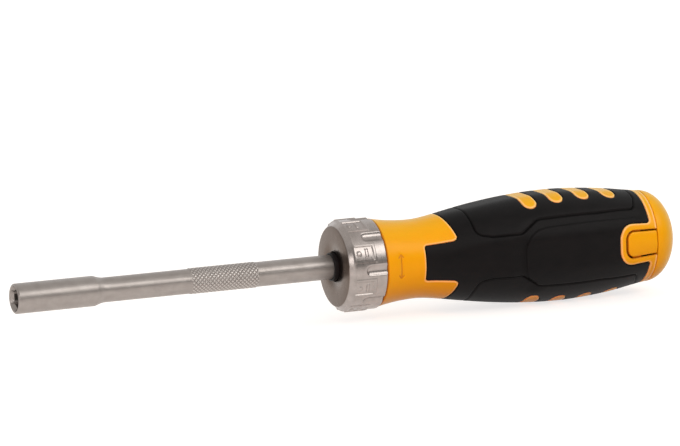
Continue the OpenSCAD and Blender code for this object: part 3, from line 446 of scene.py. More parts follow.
def collar_finish():
    """Satin nickel, blasted on the side; the turned face is darker, as painted shade."""
    finish, tree, shader, place = new_finish("satin_nickel_casting", (0.50, 0.46, 0.44), 0.36, metallic=1.0)
    turning = grain(tree, place, (7.0, 0.5, 0.5), 1.2)
    blasting = grain(tree, place, (1, 1, 1), 7.0, detail=4.0)
    clouds = grain(tree, place, (0.3, 0.3, 0.3), 1.0)
    along = new_node(tree, "SeparateXYZ", {0: place})
    side_share = to_range(tree, along.outputs["X"], 0, 1, collar_front + 0.02, collar_front + 0.3)
    cloud_share = to_range(tree, clouds, 0, 1)
    side_colour = blend_colour(tree, cloud_share, (0.43, 0.385, 0.365), (0.34, 0.305, 0.285))
    # Painted shade: the turned face is coloured much darker than the side
    colour = blend_colour(tree, side_share, (0.135, 0.103, 0.084), side_colour)
    given(tree, shader, {"Base Color": colour, "Roughness": to_range(tree, turning, 0.26, 0.34)})
    bump(tree, shader, blasting, 0.005 * MM, 0.4)
    return finish


def ease_all(t):
    """A soft step from 0 to 1, for a number or an array."""
    t = np.clip(t, 0, 1)
    return t * t * (3 - 2 * t)


def mark_height(x, side):
    """Height of a raised frame, open towards the collar's face, with a dot and a bar inside it."""
    x -= collar_front + mark_at
    beside = abs(side) - mark_width / 2
    outside = max(abs(x - mark_len / 2) - mark_len / 2, beside)
    side_ridges = max(outside, -(beside + ridge))
    rear_ridge = max(outside, mark_len - ridge - x)
    dot = math.hypot(x - dot_at, side) - dot_r
    bar = max(abs(x - bar_at) - bar_half_width, abs(side) - bar_half_len)
    return mark_rise * ease_all(0.5 - min(side_ridges, rear_ridge, dot, bar) / mark_edge)


def scallop_cut(x, side, r):
    """How deep the round cutter of a scallop reaches below the surface at this place."""
    centre_r = collar_r + scallop_r - scallop_depth
    run = min(0.0, x - (collar_front + scallop_at + scallop_r))
    reach = scallop_r ** 2 - run ** 2 - side ** 2
    if reach <= 0:
        return 0.0
    return max(0.0, r - (centre_r - math.sqrt(reach)))


side_rows = [(float(x), collar_r + collar_taper * (x - collar_back) / (collar_back - collar_front))
             for x in np.arange(collar_front + face_bevel + bevel_gap, collar_back - rear_edge - rear_gap,
                                collar_row)]
bevel_foot = Vector((collar_front + face_edge, face_r + face_edge_in))
bevel_top = Vector((collar_front + face_bevel, bevel_r))
bevel_rows = [(collar_front, face_r - 0.25), (collar_front + 0.05, face_r - 0.06)]
bevel_rows += [tuple(bevel_foot.lerp(bevel_top, share / 5)) for share in range(6)]
collar_outline = ([(collar_front + face_thickness, front_hole_r), (collar_front + hole_edge, front_hole_r),
                   (collar_front, front_hole_r + hole_edge), (collar_front, face_row_r)]
                  + bevel_rows + side_rows
                  + arc(collar_back - rear_edge, collar_r - rear_edge, rear_edge, 90, 0, 5)
                  + [(collar_back, bore_r + bore_edge), (collar_back - bore_edge, bore_r),
                     (collar_front + face_thickness, bore_r)])
collar_bm = turned_piece(collar_outline + collar_outline[:1], collar_steps)
pitch = 2 * math.pi / scallops
for v in collar_bm.verts:
    r = math.hypot(v.co.y, v.co.z)
    if r < bore_r + rear_edge or v.co.x < collar_front + near:
        continue
    turn = around(v.co)
    to_scallop = (turn + pitch / 2) % pitch - pitch / 2
    to_mark = turn % pitch - pitch / 2
    reach = r - scallop_cut(v.co.x, to_scallop * r, r) + mark_height(v.co.x, to_mark * r)
    v.co.y *= reach / r
    v.co.z *= reach / r
finished(collar_bm, "selector_collar_cast", collar_finish(), "selector", "selector_collar",
         sharp=50)
dressed(dark_steel, "collar_retaining_ring")

# Handle core: glossy yellow plastic, moulded in one piece round the housing. It shows at the neck,
# at the curved slots, as the ring and side frames at the rear, and lies under the rubber elsewhere.
neck_x, rear_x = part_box("handle_core")[0].x / MM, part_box("handle_core")[1].x / MM
waist_x, belly_x, ring_x = neck_x + 14.4, neck_x + 65.4, rear_x - 2.2
waist_lead, waist_flare = 4.8, 0.533      # how the neck's curve runs into the waist
neck_r, waist_r, belly_r, rear_r = 14.8, 13.2, 18.4, 15.45
edge_swell, side_drop, top_relief = 0.5, 0.6, 0.3
flats_front, flats_rear, flat_softness = 24.0, 14.0, 6.0
slope_step, tiny, far = 0.3, 1e-6, 1e9
HALF = 90.0                               # the outlines are drawn on one half, from -90 to 90 degrees
flat_scale = math.radians(16.5)           # millimetres for each degree round the handle, when laid flat


def bezier(points, t):
    """Points on a cubic curve with four control points, at an array of shares of its run."""
    a, b, c, d = (np.array(p) for p in points)
    t = np.array(t)[:, None]
    return (1 - t) ** 3 * a + 3 * (1 - t) ** 2 * t * b + 3 * (1 - t) * t ** 2 * c + t ** 3 * d


rise, fall = belly_x - waist_x, rear_x - belly_x
curve_shares = np.linspace(0, 1, 60)
profile = np.vstack([
    bezier([(neck_x, neck_r), (neck_x + waist_lead, waist_r + waist_flare),
            (waist_x - waist_lead, waist_r), (waist_x, waist_r)], curve_shares),
    bezier([(waist_x, waist_r), (waist_x + 0.176 * rise, waist_r), (waist_x + 0.53 * rise, belly_r),
            (belly_x, belly_r)], curve_shares),
    bezier([(belly_x, belly_r), (belly_x + 0.31 * fall, belly_r),
            (belly_x + 0.69 * fall, rear_r + 0.47 * (belly_r - rear_r)), (rear_x, rear_r)], curve_shares)])


def handle_r(x, degrees):
    """Radius of the handle: round at the neck and the rear, with four soft flats along the grip."""
    turn = np.radians(degrees)
    r = np.interp(x, profile[:, 0], profile[:, 1])
    full = ease_all((x - waist_x) / flats_front) * ease_all((ring_x - x) / flats_rear)
    round_r = r + edge_swell * full
    top_r = (r + top_relief * (1 - full)) / np.maximum(0.05, np.abs(np.sin(turn)))
    side_r = (r + top_relief - side_drop * full) / np.maximum(0.05, np.abs(np.cos(turn)))
    least = np.minimum(np.minimum(round_r, top_r), side_r)
    total = sum(np.exp(-flat_softness * (part - least)) for part in (round_r, top_r, side_r))
    return least - np.log(total) / flat_softness


def on_handle(x, degrees, depth):
    """Points on the handle, sunk by a depth, as rows of X, Y and Z in millimetres."""
    turn = np.radians(degrees)
    r = handle_r(x, degrees)
    slope = (handle_r(x + slope_step, degrees) - handle_r(x - slope_step, degrees)) / (2 * slope_step)
    down = depth / np.sqrt(1 + slope ** 2)
    r, x = r - down, x + down * slope
    return np.stack([x, -r * np.cos(turn), r * np.sin(turn)], axis=1)


def angle_at_height(x, z):
    """The angle at which the handle's surface has this height, in degrees."""
    degrees = np.degrees(np.arcsin(np.clip(z / handle_r(x, 30.0), -1, 1)))
    for _ in range(4):
        degrees = np.degrees(np.arcsin(np.clip(z / handle_r(x, degrees), -1, 1)))
    return degrees


def rounded(points, radii, steps=7):
    """An open outline with a radius for each of its inner corners."""
    line = [points[0]]
    for before, corner, after, radius in zip(points, points[1:], points[2:], radii):
        a, b = Vector(before) - Vector(corner), Vector(after) - Vector(corner)
        half = a.angle(b) / 2
        along = radius / math.tan(half)
        centre = Vector(corner) + (a.normalized() + b.normalized()).normalized() * radius / math.sin(half)
        first, last = Vector(corner) + a.normalized() * along, Vector(corner) + b.normalized() * along
        for i in range(steps + 1):
            arm = (first - centre).lerp(last - centre, i / steps)
            line.append(tuple(centre + arm.normalized() * radius))
    return line + [points[-1]]


def spaced(points, step=0.45):
    """The same outline with points about a step apart."""
    points = np.array(points, float)
    length = np.concatenate([[0], np.cumsum(np.linalg.norm(np.diff(points, axis=0), axis=1))])
    at = np.linspace(0, length[-1], max(2, round(length[-1] / step) + 1))
    return np.stack([np.interp(at, length, points[:, 0]), np.interp(at, length, points[:, 1])], axis=1)


def moved_sideways(line, reach):
    """The outline moved to its left. Its ends stay on the top and bottom lines of the half."""
    ahead = np.gradient(line, axis=0)
    for end in (0, -1):
        if abs(abs(line[end, 1]) - HALF * flat_scale) < tiny:
            ahead[end, 0] = 0
    ahead /= np.linalg.norm(ahead, axis=1)[:, None]
    return line + reach * np.stack([-ahead[:, 1], ahead[:, 0]], axis=1)


def distance_to(points, line):
    """The distance from each point to the nearest place on an outline."""
    nearest = np.full(len(points), far)
    for a, b in zip(line[:-1], line[1:]):
        ab = b - a
        t = np.clip(((points - a) @ ab) / max(1e-12, ab @ ab), 0, 1)
        nearest = np.minimum(nearest, np.linalg.norm(points - a - t[:, None] * ab, axis=1))
    return nearest


def within(points, outline):
    """Whether each point lies inside a closed outline."""
    found = np.zeros(len(points), bool)
    for a, b in zip(outline, np.roll(outline, -1, axis=0)):
        if a[1] == b[1]:
            continue
        crosses = (points[:, 1] > min(a[1], b[1])) & (points[:, 1] <= max(a[1], b[1]))
        x = a[0] + (points[:, 1] - a[1]) * (b[0] - a[0]) / (b[1] - a[1])
        found ^= crosses & (points[:, 0] < x)
    return found


def flat(x, degrees):
    """A place on the handle, laid flat: millimetres along it and millimetres round it."""
    return (float(x), float(degrees) * flat_scale)


# Outlines of the yellow areas
tongue_x, finger_x = neck_x + 14.4, neck_x + 26.3
tongue_half, finger_half, finger_bow = 6.05, 7.0, 2.7
tongue_corner, finger_corner = 1.0, 1.6
frame_len, frame_half, frame_foot, frame_corner = 12.0, 6.95, 1.2, 5.2
slot_count, slot_pitch, slot_half_w, slot_bend = 4, 10.05, 2.5, 90.0
slot_lead, slot_reach, slot_shorten = 11.7, 8.5, 0.85
frame_nose, notch_half, notch_corner, notch_middle = 2.1, 4.75, 3.2, 5.0


def finger_end(sign):
    """The bowed end of the top or bottom finger, from its corner to the middle line."""
    line = []
    for degrees in np.linspace(angle_at_height(finger_x, finger_half), HALF, 12):
        y = handle_r(finger_x, degrees) * math.cos(math.radians(degrees))
        line.append(flat(finger_x - finger_bow + finger_bow * (y / waist_r) ** 2, sign * degrees))
    return line


low_end, high_end = finger_end(-1), finger_end(1)
tongue_angle = angle_at_height(tongue_x, tongue_half)
neck_line = spaced(low_end[:1:-1] + rounded(
    [low_end[1], low_end[0], flat(tongue_x, -tongue_angle), flat(tongue_x, tongue_angle), high_end[0],
     high_end[1]], [finger_corner, tongue_corner, tongue_corner, finger_corner]) + high_end[2:])

frame_x = ring_x - frame_len
frame_angle = angle_at_height(ring_x - frame_len / 2, frame_half)
ring_line = spaced(rounded(
    [flat(ring_x, -HALF), flat(ring_x, -frame_angle), flat(frame_x, -frame_angle),
     flat(frame_x, frame_angle), flat(ring_x, frame_angle), flat(ring_x, HALF)],
    [frame_foot, frame_corner, frame_corner, frame_foot]))


def slot_line(i, sign):
    """The end of one curved slot on this half, from the middle line round to the middle line."""
    half = math.degrees(math.asin((slot_reach - slot_shorten * i) / slot_bend))
    centre_x = belly_x - slot_lead + i * slot_pitch + slot_bend
    end_x, end_y = arc(centre_x, 0, slot_bend, 180 - half, 180, 1)[0]
    seen_from_above = (arc(centre_x, 0, slot_bend + slot_half_w, 180, 180 - half, 15)
                       + arc(end_x, end_y, slot_half_w, 180 - half, -half, 11)[1:-1]
                       + arc(centre_x, 0, slot_bend - slot_half_w, 180 - half, 180, 15))
    line = []
    for x, y in seen_from_above:
        degrees = 60.0
        for _ in range(6):
            degrees = math.degrees(math.acos(min(1.0, y / handle_r(x, degrees))))
        line.append(flat(x, sign * degrees))
    return spaced(line)


slot_lines = [slot_line(i, sign) for i in range(slot_count) for sign in (1, -1)]
notch_nose = frame_x + frame_nose
notch_angle = angle_at_height(ring_x - notch_middle, notch_half)
notch_line = spaced(rounded(
    [flat(rear_x, -notch_angle), flat(notch_nose, -notch_angle), flat(notch_nose, notch_angle),
     flat(rear_x, notch_angle)], [notch_corner, notch_corner]))

# Grooves in the rubber, the edge of its raised side panel, and the engraved arrow at the neck


def on_grip(*places):
    """Places given in millimetres behind the fullest part and degrees up from the middle of the side."""
    return [flat(belly_x + behind, degrees) for behind, degrees in places]


groove_half, groove_depth = 0.48, 0.45
groove_corners = [8, 3.5, 3.5, 3, 3, 12, 2, 4]
upper_groove = spaced(rounded(on_grip(
    (-34.1, HALF), (-33.4, 50), (-33.1, 31), (-27.6, 25.4), (-17.4, 24.2), (-11.0, 38.8), (11.0, 40),
    (25.4, 44), (27.2, 62), (27.4, HALF)), groove_corners))
lower_groove = spaced(rounded(on_grip(
    (-34.4, -HALF), (-33.8, -48), (-32.4, -28.5), (-27.6, -24.2), (-17.4, -23.2), (-11.6, -36.2),
    (11.0, -36.2), (25.6, -40.5), (27.2, -62), (27.4, -HALF)), groove_corners))
grooves = [upper_groove, lower_groove]
panel_line = spaced(rounded(on_grip(
    (-13.4, -30), (-16.4, -22), (-16.6, 8), (-14.4, 25.0), (-8.4, 28.2), (10.0, 30), (24.0, 31.2)),
    [4, 8, 8, 5, 10]))
panel_zone = np.vstack([panel_line, on_grip((30.0, 31.6), (30.0, -38), (8.0, -36.2), (-11.0, -36.2))])
arrow_x, arrow_half, arrow_barb, arrow_head, arrow_step = 131.8, 17.0, 0.8, 4, 0.3
arrow_lines = [spaced([flat(arrow_x, -arrow_half), flat(arrow_x, arrow_half)], arrow_step)]
for sign in (1, -1):
    tip, foot = arrow_half * sign, (arrow_half - arrow_head) * sign
    arrow_lines.append(spaced([flat(arrow_x - arrow_barb, foot), flat(arrow_x, tip),
                               flat(arrow_x + arrow_barb, foot)], arrow_step))

# One flat net of triangles carries every outline, with close rings beside it so that the rims are crisp
core_ring = [-0.75, -0.5, -0.32, -0.18, -0.07, 0.0]
core_foot, grip_edge = 0.05, 0.16
grip_ring = [0.24, 0.36, 0.5, 0.68, 0.95]
net_points, net_edges = [], []
top_line = HALF * flat_scale


def add_line(line):
    """Adds one outline to the net, as far as it lies within the handle."""
    inside = (line[:, 0] > neck_x - tiny) & (line[:, 0] < rear_x + tiny)
    inside &= np.abs(line[:, 1]) < top_line + tiny
    start = len(net_points)
    net_points.extend(line.tolist())
    net_edges.extend((start + k, start + k + 1) for k in np.flatnonzero(inside[:-1] & inside[1:]).tolist())
    for k in range(len(line)):
        if not inside[k]:
            net_points[start + k] = line[int(np.argmax(inside))].tolist()


# Each outline has the side on which its yellow lies, 1 for the right and -1 for the left
outlines = [(neck_line, 1), (ring_line, -1)]
outlines += [(line, -1 if line[0, 1] > 0 else 1) for line in slot_lines]
for line, side in outlines:
    for reach in core_ring + [core_foot, grip_edge] + grip_ring:
        add_line(moved_sideways(line, -side * reach))
for reach in (0.0, 0.08, 0.2, 0.36, 0.6):
    add_line(moved_sideways(notch_line, reach))
for line in grooves:
    for reach in (-0.8, -groove_half, -0.3, -0.14, 0, 0.14, 0.3, groove_half, 0.8):
        add_line(moved_sideways(line, reach))
for reach in (-0.9, -0.6, -0.4, -0.2, 0.0, 0.25, 0.5):
    add_line(moved_sideways(panel_line, reach))
for line in arrow_lines:
    for reach in (-0.34, -0.2, 0, 0.2, 0.34):
        add_line(moved_sideways(line, reach))
end_ring = [0.0, 0.07, 0.18, 0.32, 0.5, 0.8]
bore_steps = [neck_x + 30.4, rear_x - 42.4]       # where the core's inner wall changes its radius
bore_step_len = 0.1
border_step, bore_line_step = 0.9, 1.0
for x in [neck_x + reach for reach in end_ring] + [rear_x - reach for reach in end_ring]:
    add_line(spaced([(x, -top_line), (x, top_line)], border_step))
for step in bore_steps:
    for x in (step, step + bore_step_len):
        add_line(spaced([(x, -top_line), (x, top_line)], bore_line_step))
for side in (-1, 1):
    add_line(spaced([(neck_x, side * top_line), (rear_x, side * top_line)], border_step))

# The open stretches between the outlines are filled with a plain triangular net
net_step, net_edge_gap, net_margin, cell = 0.95, 0.4, 0.3, 0.5
net_start, row_share = 0.6, 0.87          # rows of a triangular net lie closer than the points in a row
filler = []
for row, x in enumerate(np.arange(neck_x + net_start, rear_x - net_margin, net_step * row_share)):
    first = -top_line + net_edge_gap + net_step / 2 * (row % 2)
    filler += [(x, y) for y in np.arange(first, top_line - net_margin, net_step)]
cells = {}
for x, y in net_points:
    cells.setdefault((int(x // cell), int(y // cell)), []).append((x, y))


def is_clear(x, y):
    """Whether a point keeps its distance from every point of the outlines."""
    across, up = int(x // cell), int(y // cell)
    close = (p for i in (-1, 0, 1) for j in (-1, 0, 1) for p in cells.get((across + i, up + j), ()))
    return all((x - px) ** 2 + (y - py) ** 2 > net_edge_gap ** 2 for px, py in close)


net_points.extend((x, y) for x, y in filler if is_clear(x, y))
flat_verts, _, flat_faces, *_ = delaunay_2d_cdt([Vector(p) for p in net_points], net_edges, [], 0, 1e-5)
flat_verts = np.array([tuple(v) for v in flat_verts])
flat_faces = np.array([tuple(f) for f in flat_faces if len(f) == 3])
beyond_ends = 5.0


def beyond(line):
    """The closed yellow area beside an outline, carried past the middle line."""
    first, last = line[0], line[-1]
    past = np.sign(last[1]) * (top_line + beyond_ends)
    if line is neck_line:
        end_x = neck_x - beyond_ends
    elif line is ring_line:
        end_x = rear_x + beyond_ends
    else:
        return np.vstack([line, [(last[0], past), (first[0], past)]])
    return np.vstack([line, [(last[0], past), (end_x, past), (end_x, -past), (first[0], -past)]])


def beside_outlines(points):
    """How far each point is from the nearest outline, and whether it lies in a yellow area."""
    nearest = np.min([distance_to(points, line) for line, _ in outlines], axis=0)
    return nearest, np.any([within(points, beyond(line)) for line, _ in outlines], axis=0)


# How far each point of the net lies inside the rubber, or with a minus sign inside the yellow
to_outline, is_yellow = beside_outlines(flat_verts)
to_rubber = np.where(is_yellow, -to_outline, to_outline)
notch_end = rear_x + beyond_ends
notch_zone = np.vstack([notch_line, [(notch_end, notch_line[-1, 1]), (notch_end, notch_line[0, 1])]])
to_notch = distance_to(flat_verts, notch_line)


def rim_drop(reach, width, depth):
    """How far a rounded rim has dropped at a distance from its edge."""
    t = np.clip(reach / width, 0, 1)
    return depth * (1 - np.sqrt(np.clip(1 - (1 - t) ** 2, 0, 1)))


def share_near(reach, end, fade):
    """1 close to an edge or a line, fading softly to 0 at a distance from it."""
    return ease_all((end - reach) / fade)


degrees = flat_verts[:, 1] / flat_scale
front_end, rear_end = flat_verts[:, 0] - neck_x, rear_x - flat_verts[:, 0]
arrow_near = np.min([distance_to(flat_verts, line) for line in arrow_lines], axis=0)
arrow_mark = share_near(arrow_near, 0.30, 0.16)
# Painted shade on the yellow next to the collar and along the notch round the tab; the engraved arrow is
# darker too
neck_shade = share_near(front_end, 0.5, 0.3)
notch_shade = share_near(to_notch, 0.3, 0.2)
core_rim, notch_rim, core_rim_depth = 0.5, 0.6, 0.34
rear_rim, rear_rim_depth = 0.12, 0.06
arrow_depth, rubber_wall, rim_band = 0.14, 2.15, 0.85
core_depth = (rim_drop(-to_rubber, core_rim, core_rim_depth) + rim_drop(front_end, core_rim, core_rim_depth)
              + rim_drop(rear_end, rear_rim, rear_rim_depth) + rim_drop(to_notch, notch_rim, core_rim_depth)
              + arrow_depth * arrow_mark)
core_depth = np.where(to_rubber > core_foot - near, rubber_wall, core_depth)
# Painted highlight along the yellow edges, fading over a band
rim_share = np.clip(1 - np.minimum(-to_rubber, rear_end) / rim_band, 0, 1)
arrow_and_shade_share = np.max([arrow_mark, neck_shade, notch_shade], axis=0)


def face_outwards(bm):
    """Turns the skin's faces away from the handle's axis."""
    bmesh.ops.recalc_face_normals(bm, faces=bm.faces)
    if sum(f.normal.dot(f.calc_center_median() * Vector((0, 1, 1))) for f in bm.faces) < 0:
        bmesh.ops.reverse_faces(bm, faces=bm.faces)


def net_piece(chosen, depth, values):
    """Half of the handle's skin as a mesh, with named values on its points."""
    bm = bmesh.new()
    layers = {name: bm.verts.layers.float.new(name) for name in [*values, "along", "round"]}
    used = np.unique(chosen)
    places = on_handle(flat_verts[used, 0], degrees[used], depth[used])
    middle_line = np.abs(np.abs(degrees[used]) - HALF) < tiny
    places[middle_line, 1] = 0
    index = {}
    for k, place, x, angle in zip(used, places, flat_verts[used, 0], degrees[used]):
        v = bm.verts.new(place)
        v[layers["along"]], v[layers["round"]] = x, angle
        for name, value in values.items():
            v[layers[name]] = value[k]
        index[k] = v
    for face in chosen:
        bm.faces.new([index[k] for k in face])
    face_outwards(bm)
    return bm, layers


def both_sides(bm):
    """Adds the mirrored half and joins the two along the middle line."""
    bmesh.ops.mirror(bm, geom=bm.verts[:] + bm.edges[:] + bm.faces[:], matrix=Matrix.Identity(4),
                     merge_dist=0.001, axis="Y")
    bmesh.ops.remove_doubles(bm, verts=[v for v in bm.verts if abs(v.co.y) < 0.002], dist=0.0015)
    face_outwards(bm)


def given_wall(bm, inner):
    """Closes a skin with an inner wall: a copy of it, drawn in by a rule, and joined round its edges."""
    extruded = bmesh.ops.extrude_face_region(bm, geom=bm.faces[:], use_keep_orig=True)
    for v in extruded["geom"]:
        if isinstance(v, bmesh.types.BMVert):
            v.co = inner(v)
    bmesh.ops.recalc_face_normals(bm, faces=bm.faces)


centres = flat_verts[flat_faces].mean(axis=1)
centre_to_outline, centre_yellow = beside_outlines(centres)
centre_notch = within(centres, notch_zone)
magazine_r, front_r, hub_r = 12.8, 9.5, 8.05
lug_room, lip_in, lip_wall = 5.4, 14.5, 0.6      # the slot for a latch's lugs beside its notch
notch_lead, lug_lead = 1.5, 0.2                  # how far before the notch the wall starts to change
bore_fade_from, bore_fade = 6.0, 3.0             # the bore is flattened over this height beside a notch


def core_wall(v):
    """The core's inner wall: the seat of the housing, the hollow in front, the magazine's bore, and
    beside each notch the slot that the latch's lugs move in, open to the rear."""
    x, (y, z) = v[core_layers["along"]], v.co.yz
    r = (hub_r, front_r, magazine_r)[sum(x > step + bore_step_len / 2 for step in bore_steps)]
    to_bore = r / math.hypot(y, z)
    if x < notch_nose - notch_lead:
        return Vector((x, y * to_bore, z * to_bore))
    if x > notch_nose - lug_lead and abs(z) < lug_room:
        return Vector((x, math.copysign(min(lip_in, abs(y) - lip_wall), y), z))
    z *= 1 - (1 - to_bore) * float(ease_all((abs(z) - bore_fade_from) / bore_fade))
    return Vector((x, math.copysign(math.sqrt(max(0.0, r ** 2 - z ** 2)), y), z))


core_bm, core_layers = net_piece(flat_faces[~centre_notch], core_depth,
                                 {"rim": rim_share, "engraved_and_shade": arrow_and_shade_share})
both_sides(core_bm)
given_wall(core_bm, core_wall)


def plastic_finish(name, with_values):
    """Glossy yellow plastic: faint flow clouds, a fine spark texture, and a painted highlight that makes the
    edges lighter.
    """
    finish, tree, shader, place = new_finish(name, (0.79, 0.415, 0.003), 0.3, specular=0.15)
    clouds = grain(tree, place, (0.12, 0.2, 0.2), 1.0)
    spark = grain(tree, place, (1, 1, 1), 5.0, detail=4.0)
    colour = blend_colour(tree, to_range(tree, clouds, 0, 1), (0.775, 0.43, 0.003), (0.75, 0.405, 0.002))
    if with_values:
        # A painted highlight along the yellow edges; the engraved arrow's colour, and painted shade beside
        # the collar, in the gaps round the tabs and on the lugs
        for layer, shade, share in (("rim", (0.97, 0.66, 0.26), 0.8), ("engraved_and_shade", (0.42, 0.15, 0.01), 0.6)):
            amount = to_range(tree, layer_value(tree, layer), 0, share, 0.1, 0.7)
            colour = blend_colour(tree, amount, colour, shade)
    bump(tree, shader, spark, 0.012 * MM, 0.35)
    given(tree, shader, {"Base Color": colour, "Roughness": to_range(tree, spark, 0.26, 0.36),
                         "Subsurface Weight": 0.08, "Subsurface Radius": (1.0, 0.4, 0.1),
                         "Subsurface Scale": 0.6 * MM})
    return finish


yellow_core = plastic_finish("yellow_core_plastic", True)
finished(core_bm, "handle_core_moulded", yellow_core, "handle", "handle_core", sharp=60)

# Rubber grip: soft black rubber moulded over the core, with windows for the slots and the frames,
# long grooves, and a smooth raised panel on each side.
grip_faces = flat_faces[~centre_yellow & (centre_to_outline > grip_edge - near / 2) & ~centre_notch]
groove_near = np.min([distance_to(flat_verts, line) for line in grooves], axis=0)
panel_near = distance_to(flat_verts, panel_line)
panel_edge, panel_foot_at, panel_foot_half = 0.6, 0.4, 0.4
below_panel, panel_fade, outline_from, outline_fade = 0.7, 5.0, 0.3, 2.5
grip_rim, grip_rim_depth, grip_wall_depth, panel_foot_shade = 0.5, 0.36, 2.1, 0.9
on_panel = within(flat_verts, panel_zone)
panel_share = ease_all(0.5 + np.where(on_panel, panel_near, -panel_near) / panel_edge)
grip_depth = (rim_drop(to_rubber - grip_edge, grip_rim, grip_rim_depth)
              + groove_depth * (1 - ease_all(groove_near / groove_half))
              + below_panel * (1 - panel_share) * (1 - ease_all((panel_near - panel_foot_at) / panel_fade))
              * ease_all((to_rubber - outline_from) / outline_fade))
panel_foot = np.clip(1 - np.abs(panel_near - panel_foot_at) / panel_foot_half, 0, 1) * ~on_panel
# Painted shade in the grooves and along the foot of the raised panel
grip_painted_shade = np.maximum(np.clip(1 - groove_near / groove_half, 0, 1), panel_foot_shade * panel_foot)


def grip_wall(v):
    """The rubber's inner wall, at one depth below the handle's plain form."""
    along, degrees = np.array([v[grip_layers["along"]]]), np.array([v[grip_layers["round"]]])
    place = Vector(on_handle(along, degrees, np.array([grip_wall_depth]))[0])
    return place * Vector((1, -1 if v.co.y > 0 else 1, 1))


grip_bm, grip_layers = net_piece(grip_faces, grip_depth, {"groove": grip_painted_shade})
both_sides(grip_bm)
given_wall(grip_bm, grip_wall)


def rubber_finish():
    """Matt black rubber with a pebbled surface, a few scuffs, and blacker grooves and panel foot as painted
    shade.
    """
    finish, tree, shader, place = new_finish("moulded_grip_rubber", (0.002, 0.0018, 0.002), 0.55,
                                             specular=0.14)
    pebble = grain(tree, place, (1, 1, 1), 3.2, detail=5.0)
    scuffs = to_range(tree, grain(tree, place, (0.18, 0.35, 0.35), 1.0, detail=4.0), 0, 1)
    colour = blend_colour(tree, scuffs, (0.0012, 0.001, 0.0012), (0.0032, 0.0028, 0.0031))
    # painted shade in the grooves and at the panel's foot
    in_groove = to_range(tree, layer_value(tree, "groove"), 0, 0.7, 0, 1)
    colour = blend_colour(tree, in_groove, colour, (0.001, 0.001, 0.001))
    given(tree, shader, {"Base Color": colour, "Roughness": to_range(tree, pebble, 0.46, 0.6)})
    bump(tree, shader, pebble, 0.02 * MM, 0.4)
    return finish


finished(grip_bm, "rubber_grip_moulded", rubber_finish(), "handle", "rubber_grip", sharp=60)

# End cap: the same yellow plastic, a hollow dome on the rear of the magazine. It carries the pins of
# the two latch tabs between pairs of ears, and a boss takes the carrier's screw.
cap_front, cap_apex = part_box("end_cap")[0].x / MM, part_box("end_cap")[1].x / MM
cap_wall, cap_edge = 2.1, 0.2
boss_r, boss_bore, boss_in, boss_depth = 4.6, 1.55, 1.9, 4.2
ear_half, ear_in, ear_shift, ear_depth, ear_width, ear_back = 5.2, 3.2, 0.5, 3.4, 4.0, 0.2
pin_r = 0.8
pin_x, pin_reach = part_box("latch_pins")[0].x / MM + pin_r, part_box("latch_pins")[1].y / MM - pin_r
cap_height = cap_apex - cap_front


def dome(inset, first, last, steps):
    """Points of the cap's dome, from one angle to another."""
    span = [math.radians(first + (last - first) * i / steps) for i in range(steps + 1)]
    return [(cap_front + (cap_height - inset) * math.sin(a), (rear_r - inset) * math.cos(a)) for a in span]


boss_front = cap_front + boss_in
boss_end = math.degrees(math.acos(boss_r / (rear_r - cap_wall)))
cap_outline = ([(boss_front + boss_depth, 0), (boss_front + boss_depth, boss_bore), (boss_front, boss_bore),
                (boss_front, boss_r)]
               + dome(cap_wall, boss_end, 0, 14)
               + [(cap_front, rear_r - cap_wall), (cap_front, rear_r - cap_edge)]
               + arc(cap_front + cap_edge, rear_r - cap_edge, cap_edge, 180, 110, 4)[1:]
               + dome(0, 3, 90, 30))
cap_bm = turned_piece(cap_outline, 144)


def block(bm, low_corner, high_corner, edge=0.15):
    """A small moulded block with rounded edges, added to a piece."""
    made = bmesh.ops.create_cube(bm, size=1)
    low_corner, high_corner = Vector(low_corner), Vector(high_corner)
    bmesh.ops.scale(bm, verts=made["verts"], vec=high_corner - low_corner)
    bmesh.ops.translate(bm, verts=made["verts"], vec=(low_corner + high_corner) / 2)
    edges = {e for v in made["verts"] for e in v.link_edges}
    bmesh.ops.bevel(bm, geom=list(edges), offset=edge, affect="EDGES", segments=2, profile=0.5, material=-1)


for y_side in (-1, 1):
    for z_side in (-1, 1):
        ys = sorted(y_side * (pin_reach + ear_shift + half * ear_width) for half in (-0.5, 0.5))
        zs = sorted((z_side * ear_in, z_side * ear_half))
        block(cap_bm, (cap_front + ear_back, ys[0], zs[0]), (cap_front + ear_depth, ys[1], zs[1]))
yellow_cap = plastic_finish("yellow_cap_plastic", False)
finished(cap_bm, "end_cap_moulded", yellow_cap, "magazine", "end_cap", sharp=45)

# Bit carrier: black nylon with a trough for each of its six bits, held to the cap by a screw, and
# sealed in its bore by a rubber ring. The bits are hardened tool steel with a satin finish.
bit_steel = metal_finish("hardened_bit_steel", (0.40, 0.38, 0.36), (0.31, 0.29, 0.27), 0.32,
                         turned=(1.5, 1.5, 1.5), scale=2.5, grit=0.006)
seal_rubber, tree, shader, place = new_finish("smooth_seal_rubber", (0.012, 0.012, 0.012), 0.4)
given(tree, shader, {"Roughness": to_range(tree, grain(tree, place, (1, 1, 1), 4.0), 0.34, 0.5)})
dressed(black_nylon, "bit_carrier")
dressed(screw_steel, "carrier_screw")
dressed(seal_rubber, "cap_seal_ring")
dressed(spring_steel, "latch_pins", "latch_spring_left", "latch_spring_right")
dressed(bit_steel, "bit_cross_small", "bit_cross_large", "bit_slotted_small", "bit_slotted_large",
        "bit_star", "bit_hex")

